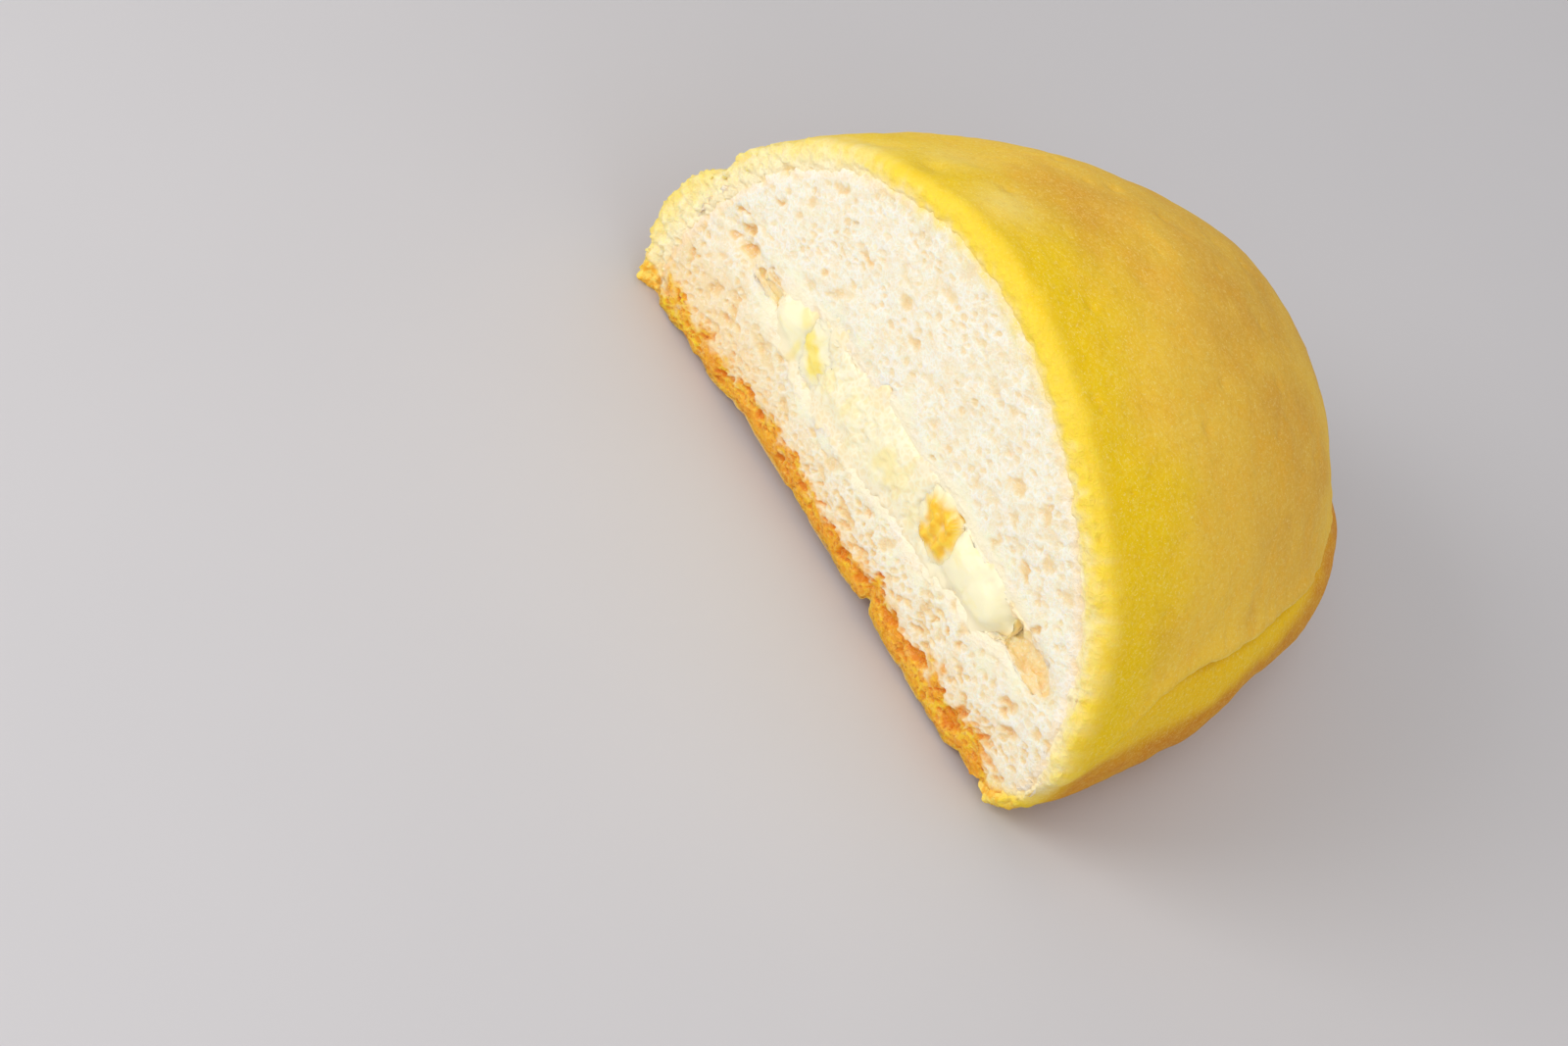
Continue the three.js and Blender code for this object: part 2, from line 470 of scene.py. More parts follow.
def refined(piece: Piece, wanted: Numbers, cuts: int) -> None:
    """Divides the faces of a region more finely.

    Args:
        piece: The piece to change.
        wanted: True for each point in the region.
        cuts: How many cuts each edge gets.
    """
    with worked(piece.data) as work:
        edges = [e for e in work.edges if wanted[e.verts[0].index] and wanted[e.verts[1].index]]
        bmesh.ops.subdivide_edges(work, edges=edges, cuts=cuts, use_grid_fill=True)
        bmesh.ops.triangulate(work, faces=[f for f in work.faces if len(f.verts) > 4])


def relaxed(piece: Piece, turns: int, factor: float = 0.5) -> None:
    """Smooths a piece a little.

    Args:
        piece: The piece to change.
        turns: How often it is smoothed.
        factor: How strongly each time.
    """
    axes = {f"use_axis_{axis}": True for axis in "xyz"}
    with worked(piece.data) as work:
        for _ in range(turns):
            bmesh.ops.smooth_vert(work, verts=work.verts, factor=factor, **axes)


def finished(piece: Piece, look: bpy.types.Material, slot: str, *nodes: str) -> None:
    """Dresses a piece and ties it to the frame.

    Args:
        piece: The piece.
        look: Its material.
        slot: Not used.
        nodes: The solids that it stands for.
    """
    piece.data.materials.clear()
    piece.data.materials.append(look)
    piece.data.polygons.foreach_set("use_smooth", np.ones(len(piece.data.polygons), bool))
    piece.data.update()
    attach(piece, "root")
    if nodes:
        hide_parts(*nodes)
    REPORT.info("%s: %d faces", piece.name, len(piece.data.polygons))


class Recipe:
    """A material under construction, with short calls for the nodes that the finishes share."""

    def __init__(self, name: str) -> None:
        """Starts an empty material that reads places on the object."""
        self.material = bpy.data.materials.new(name)
        self.material.use_nodes = True
        self.tree = self.material.node_tree
        self.tree.nodes.clear()
        self.place = self.node("TexCoord", {}).outputs["Object"]

    def node(self, kind: str, sources: dict[object, object], **settings: object) -> bpy.types.Node:
        """Adds a node.

        Args:
            kind: The node's kind.
            sources: What each socket gets, either a link's start or the socket's own value.
            settings: The node's options.

        Returns:
            The new node.
        """
        made = self.tree.nodes.new("ShaderNode" + kind)
        for key, value in settings.items():
            setattr(made, key, value)
        for key, source in sources.items():
            if isinstance(source, Socket):
                self.tree.links.new(source, made.inputs[key])
            else:
                made.inputs[key].default_value = source
        return made

    def noise(
        self,
        size: float,
        detail: float = 2.0,
        rough: float = 0.5,
        stretch: Spot = (1.0, 1.0, 1.0),
        swirl: float = 0.0,
    ) -> Socket:
        """Adds a cloudy pattern.

        Args:
            size: Size of its lumps, in millimetres.
            detail: How many finer layers it has.
            rough: How strong the finer layers are.
            stretch: How much longer the lumps are along each axis.
            swirl: How much the pattern is twisted.

        Returns:
            The pattern, from zero to one.
        """
        mapping = self.node("Mapping", {"Vector": self.place, "Scale": [1 / s for s in stretch]})
        sources = {"Vector": mapping.outputs["Vector"], "Scale": 1 / (size * MM), "Detail": detail}
        sources |= {"Roughness": rough, "Distortion": swirl}
        return self.node("TexNoise", sources).outputs["Fac"]

    def lace(self, size: float) -> Socket:
        """Adds a net of fine wavy cell walls.

        Args:
            size: Size of a cell, in millimetres.

        Returns:
            The distance from the nearest wall, from zero to about a half.
        """
        wave = self.node("TexNoise", {"Vector": self.place, "Scale": 0.7 / (size * MM)})
        sources = {0: wave.outputs["Color"], 1: (0.9 * size * MM,) * 3, 2: self.place}
        bent = self.node("VectorMath", sources, operation="MULTIPLY_ADD")
        sources = {"Vector": bent.outputs["Vector"], "Scale": 1 / (size * MM)}
        return self.node("TexVoronoi", sources, feature="DISTANCE_TO_EDGE").outputs["Distance"]

    def mark(self, name: str) -> Socket:
        """Reads a value that the piece keeps on its points."""
        return self.node("Attribute", {}, attribute_name=name).outputs["Fac"]

    def ranged(
        self, value: object, low: float, high: float, start: float = 0.0, end: float = 1.0
    ) -> Socket:
        """Stretches a value from the range low to high to the range start to end, smoothly."""
        sources = {"Value": value, "From Min": low, "From Max": high, "To Min": start, "To Max": end}
        return self.node("MapRange", sources, interpolation_type="SMOOTHSTEP").outputs["Result"]

    def times(self, first: object, second: object, kind: str = "MULTIPLY") -> Socket:
        """Multiplies two values, or joins them by another kind of math node."""
        return self.node("Math", {0: first, 1: second}, operation=kind).outputs[0]

    def blend(self, share: object, first: object, second: object) -> Socket:
        """Mixes two colours, with a share of the second one."""
        return self.node("Mix", {0: share, 6: first, 7: second}, data_type="RGBA").outputs[2]

    def layered(self, colour: object, *layers: tuple[object, object]) -> Socket:
        """Lays colours over one another.

        Args:
            colour: The lowest colour.
            layers: How much each further colour shows, with that colour.

        Returns:
            The mixed colour.
        """
        for share, tint in layers:
            colour = self.blend(share, colour, tint)
        return colour

    def relief(self, height: object, depth: float, strength: float, under: object = None) -> Socket:
        """Adds fine relief from a pattern.

        Args:
            height: The pattern.
            depth: How deep the relief is, in millimetres.
            strength: How much of it shows.
            under: Another relief that lies under it.

        Returns:
            The way the surface faces.
        """
        sources = {"Strength": strength, "Distance": depth * MM, "Height": height}
        if under is not None:
            sources["Normal"] = under
        return self.node("Bump", sources).outputs["Normal"]

    def surface(
        self,
        colour: object,
        normal: object,
        rough: object,
        shine: float,
        glow: float = 0.0,
        spread: Spot = (1.0, 1.0, 1.0),
    ) -> bpy.types.Material:
        """Closes the recipe with a surface.

        Args:
            colour: The base colour.
            normal: The way the surface faces, or nothing.
            rough: How rough it is.
            shine: How strongly it shines.
            glow: How much light passes under it, which stops at a seam.
            spread: How far red, green and blue light spread there, in millimetres.

        Returns:
            The finished material.
        """
        sources = {"Base Color": colour, "Roughness": rough, "Specular IOR Level": shine}
        if normal is not None:
            sources["Normal"] = normal
        if glow:
            sources["Subsurface Weight"] = self.ranged(self.mark("seam"), 0.0, 0.6, glow, 0.0)
            sources["Subsurface Radius"] = [s / spread[0] for s in spread]
            sources["Subsurface Scale"] = spread[0] * MM
        made = self.node("BsdfPrincipled", sources)
        self.node("OutputMaterial", {"Surface": made.outputs["BSDF"]})
        return self.material


@dataclass(frozen=True)
class SpongeFinish:
    """Soft velvety lemon sponge, golden and tan where it baked most.

    Attributes:
        lemon: Colour of the skin near the cut.
        golden: Colour of the skin further back.
        tan: Colour of the baked patches.
        ember: Colour of the clouds in the golden skin.
        highlight_patches: Colour of the painted highlight patches, the palest on the dome.
        skirt: Colour of the low skirt.
        rim: Colour of the browned lower rim.
        crease_shade: Painted shade in the crease under the dome's lip.
        lip_highlight: Painted highlight along the crease's upper edge.
        section: Colour of the inside of the coat at the cut.
        ring: Colour of that inside where it is yellowest.
    """

    lemon: Colour = linear(243, 203, 12)
    golden: Colour = linear(246, 200, 70)
    tan: Colour = linear(212, 150, 56)
    ember: Colour = linear(244, 184, 48)
    highlight_patches: Colour = linear(255, 224, 122)
    skirt: Colour = linear(246, 198, 22)
    rim: Colour = linear(208, 126, 12)
    crease_shade: Colour = linear(190, 138, 8)
    lip_highlight: Colour = linear(255, 236, 130)
    section: Colour = linear(255, 245, 206)
    ring: Colour = linear(250, 218, 70)

    def material(self) -> bpy.types.Material:
        """Builds the material."""
        mix = Recipe("lemon_sponge")
        golden, section, inner = mix.mark("golden"), mix.mark("section"), mix.mark("inner")
        grain, speck, cells = mix.noise(0.55, 3, 0.65), mix.noise(0.3, 2, 0.7), mix.lace(0.62)
        patch = mix.times(mix.mark("tan"), mix.ranged(mix.noise(9, 3, 0.55), 0.3, 0.68, 0.5, 1.0))
        ember = mix.ranged(mix.noise(4.5, 3, 0.6), 0.46, 0.68, 0.0, 0.4)
        rim = mix.times(mix.mark("rim"), mix.ranged(mix.noise(3, 3), 0.3, 0.65, 0.8, 1))
        colour = mix.layered(
            self.lemon,
            (golden, self.golden),
            (patch, self.tan),
            (mix.times(ember, mix.ranged(golden, 0.0, 1.0, 0.3, 1.0)), self.ember),
            # Painted highlight patches on the dome's top near the cut.
            (mix.mark("highlight_patches"), self.highlight_patches),
            (mix.mark("skirt"), self.skirt),
            (rim, self.rim),
        )
        light = mix.blend(0.4, colour, linear(255, 238, 140))
        colour = mix.blend(mix.ranged(grain, 0.45, 0.7, 0.0, 0.45), colour, light)
        dark = mix.blend(0.3, colour, linear(190, 130, 20))
        # Painted shade inside the cells and pores of the coat's cut face, tan between the paler walls.
        shaded_holes = mix.blend(inner, linear(247, 218, 156), linear(248, 206, 84))
        inside = mix.layered(
            mix.blend(inner, self.section, self.ring),
            (mix.ranged(cells, 0.04, 0.26, 0.0, 0.3), shaded_holes),
            (mix.ranged(mix.mark("pore"), 0.0, 0.7, 0.0, 0.9), shaded_holes),
        )
        burnt = mix.ranged(mix.noise(1.0, 3, 0.6), 0.4, 0.62)
        colour = mix.layered(
            colour,
            (mix.ranged(mix.noise(0.9, 3, 0.6), 0.5, 0.3, 0.0, 0.4), dark),
            # Pale specks: the sponge's fine grain, and partly painted glints standing in for tiny
            # shine.
            (mix.ranged(speck, 0.55, 0.72, 0.0, 0.4), linear(255, 240, 160)),
            # Painted shade along the crease.
            (mix.mark("crease_shade"), self.crease_shade),
            # Painted highlight along the crease's upper edge.
            (mix.times(mix.mark("lip_highlight"), mix.ranged(mix.noise(1.2, 2), 0.4, 0.6, 0.25, 1)), self.lip_highlight),
            (section, inside),
            (mix.mark("crusty"), mix.blend(burnt, linear(255, 224, 112), linear(246, 182, 62))),
        )
        height = mix.times(section, mix.ranged(cells, 0.0, 0.24, 1.6, 0.0))
        normal = mix.relief(mix.times(grain, height, "ADD"), 0.07, 0.45)
        normal = mix.relief(speck, 0.05, 0.5, normal)
        return mix.surface(colour, normal, 0.7, 0.15, 0.3, (2.0, 1.4, 0.4))


@dataclass(frozen=True)
class CrumbFinish:
    """Open white crumb, with painted tan shade in its pores and cells and orange-brown at the baked
    base.

    Attributes:
        white: Colour of the crumb's walls.
        warm: Colour of the darker crumb, low in the cut.
        pore: Painted shade inside shallow pores and cells, also the tint of the crumb's random tan
            mottle.
        deep_pore_shade: Painted shade inside deep pores.
        hollow: Painted shade colour in the hollows beside the cream.
        soaked: Colour beside the cream.
        lemon: Colour beside the coat.
        halo: Colour just above the crust.
        crust: Colour of the baked base.
        ruddy: Colour of the base's redder clouds.
        scorched: Colour of the base's scorched spots, also painted shade in its pores and cells.
    """

    white: Colour = linear(255, 248, 234)
    warm: Colour = linear(250, 218, 168)
    pore: Colour = linear(247, 219, 166)
    deep_pore_shade: Colour = linear(238, 194, 128)
    hollow: Colour = linear(253, 216, 140)
    soaked: Colour = linear(255, 247, 216)
    lemon: Colour = linear(251, 223, 98)
    halo: Colour = linear(250, 204, 138)
    crust: Colour = linear(255, 204, 48)
    ruddy: Colour = linear(255, 190, 66)
    scorched: Colour = linear(234, 146, 34)

    def material(self) -> bpy.types.Material:
        """Builds the material."""
        mix = Recipe("bread_crumb")
        fine, lace, mottle = mix.noise(0.45, 3, 0.7), mix.lace(0.62), mix.noise(2.4, 3, 0.6)
        pore_shade_mask, crust, toasted = mix.mark("pore"), mix.mark("crust"), mix.noise(0.8, 3, 0.6)
        colour = mix.layered(
            self.white,
            (mix.ranged(mottle, 0.42, 0.68, 0.0, 0.4), self.pore),
            (mix.mark("warm"), self.warm),
            # Painted shade inside the lace cells, the walls left white as if they catch the light.
            (mix.ranged(lace, 0.03, 0.26, 0.0, 0.34), self.pore),
            (mix.mark("soaked"), self.soaked),
            (mix.mark("lemon"), self.lemon),
            # Painted shade inside the pores, darker for deeper ones.
            (mix.ranged(pore_shade_mask, 0.0, 0.5, 0.0, 0.95), self.pore),
            (mix.ranged(pore_shade_mask, 0.4, 1.0), self.deep_pore_shade),
            # Painted shade in the hollows beside the cream.
            (mix.times(mix.mark("hollow_shade"), 0.65), self.hollow),
            (mix.ranged(fine, 0.52, 0.7, 0.0, 0.55), self.white),
            (mix.mark("toast"), self.halo),
        )
        baked = mix.layered(
            self.crust,
            (mix.ranged(mottle, 0.38, 0.6), self.ruddy),
            # Painted shade in the crust's cells and pores.
            (mix.ranged(mix.lace(1.3), 0.06, 0.3, 0.0, 0.45), self.scorched),
            (mix.ranged(pore_shade_mask, 0.15, 0.8), self.scorched),
            (mix.mark("scorch"), self.scorched),
            (mix.ranged(toasted, 0.54, 0.68, 0.0, 0.7), linear(200, 112, 32)),
            (mix.ranged(fine, 0.5, 0.68, 0.0, 0.4), linear(255, 212, 116)),
        )
        normal = mix.relief(mix.ranged(lace, 0.0, 0.22, 1.0, 0.0), 0.12, 0.4)
        normal = mix.relief(fine, 0.06, 0.5, normal)
        normal = mix.relief(mix.times(crust, toasted), 0.5, 0.6, normal)
        rough = mix.ranged(crust, 0.0, 1.0, 0.85, 0.4)
        colour = mix.blend(crust, colour, baked)
        return mix.surface(colour, normal, rough, 0.2, 0.7, (2.6, 2.08, 1.43))


@dataclass(frozen=True)
class CreamFinish:
    """Soft pale lemon cream with a slight gloss.

    Attributes:
        pale: Colour of the cream.
        streak: Colour of its yellow streaks.
    """

    pale: Colour = linear(255, 245, 208)
    streak: Colour = linear(255, 230, 126)

    def material(self) -> bpy.types.Material:
        """Builds the material."""
        mix = Recipe("lemon_cream")
        bready = mix.mark("bready")
        drift = mix.noise(3.5, 3, 0.55, (1.6, 1.0, 0.8), 0.6)
        cells = mix.ranged(mix.lace(0.9), 0.03, 0.26, 0.0, 0.35)
        colour = mix.layered(
            self.pale,
            (mix.ranged(drift, 0.5, 0.8, 0, 0.5), self.streak),
            (mix.mark("streak"), self.streak),
            (mix.times(bready, 0.5), linear(255, 247, 222)),
            # Painted shade inside tiny cells where the cream looks bready.
            (mix.times(bready, cells), linear(247, 218, 150)),
        )
        normal = mix.relief(mix.noise(1.6, 3, 0.6), 0.15, 0.4)
        return mix.surface(colour, normal, 0.42, 0.4, 0.4, (2.2, 1.87, 0.88))


@dataclass(frozen=True)
class PeelFinish:
    """Glossy candied peel, orange-yellow and partly clear.

    Attributes:
        amber: Colour of its body.
        vein: Colour of its deeper veins.
        pith: Colour of its pale inside.
    """

    amber: Colour = linear(255, 212, 66)
    vein: Colour = linear(252, 192, 42)
    pith: Colour = linear(255, 243, 200)

    def material(self) -> bpy.types.Material:
        """Builds the material."""
        mix = Recipe("candied_peel")
        vein = mix.ranged(mix.noise(1.1, 2, 0.5), 0.35, 0.65)
        colour = mix.layered(self.amber, (vein, self.vein), (mix.mark("pith"), self.pith))
        normal = mix.relief(mix.noise(0.7, 2, 0.5), 0.12, 0.6)
        return mix.surface(colour, normal, 0.22, 0.5, 0.3, (1.2, 0.96, 0.36))


@dataclass(frozen=True)
class FloorFinish:
    """Plain pale studio floor."""

    tone: Colour = linear(206, 204, 208)

    def material(self) -> bpy.types.Material:
        """Builds the material."""
        mix = Recipe("studio_floor")
        cloud = mix.ranged(mix.noise(40, 2), 0.3, 0.7, 0, 0.06)
        return mix.surface(mix.blend(cloud, self.tone, linear(190, 190, 195)), None, 0.6, 0.2)


@dataclass
class SpongeCoat:
    """The lemon sponge coat: a domed cap over a low skirt.

    Attributes:
        voxel: Size of the even net, in millimetres.
        fine_reach: Distance from the cut up to which the skin's net is finer.
        thickness: Thickness of the coat at the cut.
        heart: The place that the outer skin faces away from.
        spans: Reach of the coat to the right, to the left and to the back.
        crease: The crease's height at the back, its rise to the cut's ends and its dip there.
        rim_line: Upper edge of the browned rim, as turns round the crown and heights.
        pits: Pits of the dome, as place, reach and depth.
        patches: Tan baked patches of the dome, as place, reach and strength.
        highlight_patches: Painted highlights, paler patches of the dome where the light falls
            brightest, in the same way.
    """

    voxel: float = 0.88
    fine_reach: float = 44.0
    thickness: float = 3.4
    heart: Spot = (0.0, 0.0, 10.0)
    spans: Spot = (41.0, 43.0, 65.0)
    crease: Spot = (15.0, 7.5, 10.5)
    rim_line: tuple[Row, Row] = (
        (0.0, 0.45, 0.83, 1.4, 2.0, 3.1),
        (11.4, 14.9, 15.6, 15.2, 12.0, 9.0),
    )
    pits: tuple[Blot, ...] = (
        ((6.4, 18.4, 50.8), 0.9, 0.5),
        ((-9.3, 26.4, 47.7), 1.0, 0.5),
        ((10.8, 37.8, 44.2), 0.9, 0.45),
        ((-16.5, 4.7, 46.1), 2.2, 0.5),
        ((-23.4, 4.2, 41.8), 2.0, 0.4),
    )
    patches: tuple[Blot, ...] = (
        ((8.0, 38.0, 47.0), 19.0, 0.75),
        ((24.0, 40.0, 38.0), 17.0, 0.8),
        ((-8.0, 42.0, 43.0), 18.0, 0.6),
        ((2.0, 56.0, 32.0), 20.0, 0.7),
        ((30.0, 44.0, 27.0), 12.0, 0.6),
        ((29.7, 35.0, 32.0), 2.2, 0.9),
        ((39.4, 9.6, 29.0), 3.0, 0.35),
        ((19.1, 33.9, 42.5), 6.0, 0.9),
        ((38.0, 28.0, 26.0), 2.5, 0.5),
        ((-6.0, 18.0, 49.0), 9.0, 0.8),
        ((4.0, 20.0, 49.5), 7.0, 0.6),
        ((0.8, 13.8, 50.3), 4.0, 0.6),
    )
    # Painted highlights: pale patches on the dome's top near the cut.
    highlight_patches: tuple[Blot, ...] = (
        ((-6.8, 7.0, 50.0), 4.2, 0.7),
        ((-19.3, 9.2, 44.9), 5.0, 0.45),
        ((-24.0, 4.0, 42.5), 4.0, 0.35),
    )

    def build(self) -> Piece:
        """Builds and dresses the coat.

        Returns:
            The finished piece.
        """
        piece = copy_of("sponge_coat", "coat_sponge")
        remeshed(piece, self.voxel)
        relaxed(piece, 4)
        clay = Clay(piece)
        outward = clay.points - self.heart
        faces_out = (clay.facing * outward).sum(axis=1) > 0.15 * np.linalg.norm(outward, axis=1)
        faces_out &= clay.points[:, 1] < self.fine_reach
        refined(piece, faces_out | (clay.points[:, 1] < 1.6), 1)
        relaxed(piece, 1, 0.3)
        refined(piece, Clay(piece).points[:, 1] < 0.5, 1)
        self.shape(piece)
        finished(piece, SpongeFinish().material(), "sponge_coat", "sponge_coat")
        return piece

    def crease_height(self, points: Numbers) -> Numbers:
        """Height of the crease under the dome at places on the coat."""
        angle, (low, rise, dip) = self.plan_angle(points), self.crease
        return low + rise * np.cos(angle) ** 2 - dip * np.exp(-((angle / 0.14) ** 2))

    def plan_angle(self, points: Numbers) -> Numbers:
        """Turn of places on the coat round the crown, from zero at the cut's right end."""
        aside, (right, left, back) = points[:, 0] - CrumbOutline.middle, self.spans
        return np.arctan2(np.abs(points[:, 1]) / back, aside / np.where(aside > 0, right, left))

    def shape(self, piece: Piece) -> None:
        """Pushes the coat's skin into its baked form and marks where it changes colour.

        Args:
            piece: The coat.
        """
        clay = Clay(piece)
        outline = CrumbOutline()
        x, depth, z = clay.points.T
        spread = fade(depth, 3.0, 1.0) * fade(outline.gap(x, z), -2.2, -0.6)
        clay.push(-0.9 * spread, outline.outward(x, z))
        spots = clay.points.copy()
        x, depth, z = spots.T
        skin = fade((clay.facing * (spots - self.heart)).sum(axis=1), 0.0, 12.0)
        open_face = fade(-clay.facing[:, 1], 0.45, 0.85) * fade(depth, 1.4, 0.5)
        skin *= 1 - open_face
        standing = fade(z, 0.3, 3.0)
        ragged = fade(x, -24.0, -40.0) * fade(depth, 5.0, 0.0)
        foot = fade(z, 8, 3) * fade(np.abs(x), 36, 40) * fade(depth, 5, 1)
        push = 0.3 * Lumps(13, 3).at(spots) + 0.12 * Lumps(4.5, 4, 2).at(spots)
        push += 0.025 * Lumps(1.3, 5, 2).at(spots)
        push += ragged * (0.16 * Lumps(2.4, 6, 2).at(spots) + 0.26 * Lumps(0.8, 7, 2).at(spots))
        push -= sum(sink * mound(spots, place, reach) for place, reach, sink in self.pits)
        push -= self.chance_pits(spots)
        beside = z - self.crease_height(spots)
        turn = self.plan_angle(spots)
        closing = fade(turn, 0.03, 0.16) * (1 - 0.15 * fade(turn, 0.4, 0.12))
        closing *= 1 - 0.97 * fade(x, -27, -37) * fade(depth, 15, 3)
        push -= closing * 1.5 * np.exp(-((beside / 0.8) ** 2))
        push += closing * 0.7 * np.exp(-(((beside - 2.1) / 1.5) ** 2))
        wrinkle = fade(beside, 16, 2) * fade(beside, 0.5, 2.5)
        push += wrinkle * 0.1 * Lumps(2.2, 8, 1, (0.6, 0.6, 3.0)).at(spots)
        clay.push(push * skin * standing)
        clay.push(foot * 0.3 * Lumps(1.1, 19, 2).at(spots) * np.clip(z, 0, 1))
        tip = np.clip(-44 - clay.points[:, 0], 0, None) * fade(depth, 6, 2) * fade(z, 6, 3)
        clay.points[:, 0] += 0.6 * tip
        gap = outline.gap(x, z)
        near_cut = fade(depth, 4.5, 0.5)
        level = IN_CUT * (spots - (0.0, 0.0, 12.0))
        level /= np.linalg.norm(level, axis=1)[:, None]
        bend = np.clip(1 - depth / 2.2, 0, 1)
        rounding = 1.3 * (1 - np.sqrt(1 - bend * bend)) * np.clip(-gap / self.thickness, 0, 1.2)
        rounding *= 1 - 0.85 * fade(x, -20, -34)
        clay.push(-rounding * fade(z, 0.5, 4.0), level)
        sink = cut_level(spots) + 0.65 * fade(torn_gap(spots), -0.4, 0.9) + 0.2 * fade(-gap, 1.5, 4.0)
        sink += open_face * (0.8 + 0.8 * ragged + foot) * 0.2 * Lumps(0.95, 10, 2).at(spots)
        crumbly = open_face * (1 - 0.95 * fade(lemon_share(spots), 0.1, 0.6)) * fade(depth, 1.0, 0.3)
        pitted, tint = BreadCrumb().pitted(x, z)
        sink += 0.8 * pitted * crumbly
        clay.push(sink * near_cut, INWARD)
        # Painted shade of the pores and bubbles on the coat's cut face.
        clay.mark("pore", tint * crumbly)
        clay.push(BreadCrumb().arch(x, depth) * fade(z, 5, 0) * fade(np.abs(x), 42, 38), UPWARD)
        self.colour(clay, spots, skin, open_face, beside, closing)
        clay.settle()

    def chance_pits(self, spots: Numbers) -> Numbers:
        """Small pits scattered over the dome.

        Args:
            spots: Places on the coat.

        Returns:
            The depth of the pits at each place.
        """
        dice = np.random.default_rng(21)
        picked = dice.choice(len(spots), 90, replace=False)
        total = np.zeros(len(spots))
        for index in picked:
            reach = dice.uniform(0.35, 0.75)
            close = np.abs(spots - spots[index]).max(axis=1) < 3 * reach
            total[close] += reach * 0.5 * mound(spots[close], tuple(spots[index]), reach)
        return total

    def colour(
        self,
        clay: Clay,
        spots: Numbers,
        skin: Numbers,
        open_face: Numbers,
        beside: Numbers,
        closing: Numbers,
    ) -> None:
        """Marks the golden, tan, painted highlight, rim, painted lip highlight, painted crease shade
        and section parts of the coat.

        Args:
            clay: The coat's points.
            spots: Their places before the pushes.
            skin: How much each point belongs to the outer skin.
            open_face: How much each point belongs to the cut.
            beside: Height above the crease.
            closing: Zero where the crease has closed at the cut's right end.
        """
        x, depth, z = spots.T
        cloud = Lumps(11, 12, 2).at(spots)
        golden = fade(depth + 3.5 * cloud, 4, 22)
        tan, highlight_patches = (
            np.max([strength * mound(spots, place, reach) for place, reach, strength in blots], axis=0)
            for blots in (self.patches, self.highlight_patches)
        )
        tan *= 1.0 + 0.25 * Lumps(7, 13, 2).at(spots)
        level = np.interp(self.plan_angle(spots), *self.rim_line) + 0.6 * Lumps(5, 14, 2).at(spots)
        rim = 0.9 * fade(z - level, 2.4, -1.6) * fade(depth, 1, 6)
        rim = np.maximum(rim, 0.9 * fade(z + 0.8 * Lumps(1.5, 17).at(spots), 2.4, 0.3))
        # Painted highlight on the rounded lip just above the crease.
        lip_highlight = closing * np.exp(-(((beside - 1.3) / 0.5) ** 2)) * fade(depth, 1, 6)
        skirt = closing * fade(beside, 0.3, -0.8)
        low = np.where(x < 0, 0.85 * z, 0.8 * z) + 1.0 * Lumps(1.4, 18, 2).at(spots)
        crusty = fade(low, 5.0, 1.5) * fade(np.abs(x), 33, 37) * fade(depth, 5, 1)
        section = np.maximum(open_face, fade(skin, 0.5, 0.1))
        torn = 1.0 + fade(x, -12, -36) * fade(z, 6, 14)
        worn = 0.4 * Lumps(3, 16).at(spots) + 0.5 * Lumps(1.1, 11, 2).at(spots)
        edge = np.clip(1 - (depth / torn + worn) / 3.8, 0, 1) ** 1.4
        section = np.maximum(section, edge)
        clay.mark("golden", golden)
        clay.mark("tan", np.clip(tan, 0, 1) * (1 - skirt))
        # Painted highlight patches.
        clay.mark("highlight_patches", highlight_patches)
        clay.mark("skirt", skirt * fade(depth, 2, 8))
        clay.mark("rim", rim * (1 - 0.4 * open_face))
        clay.mark("lip_highlight", lip_highlight)
        # Painted shade in the crease, where the lip overhangs the skirt.
        clay.mark("crease_shade", 0.85 * closing * np.exp(-((beside / 0.8) ** 2)) * fade(depth, 1, 8))
        clay.mark("section", section)
        clay.mark("inner", lemon_share(spots) * (1 - 0.3 * fade(x, -16, -34)))
        clay.mark("crusty", crusty)
        clay.mark("seam", fade(CrumbOutline().gap(x, z), -1.6, -0.4) * fade(depth, 2.5, 1.0))


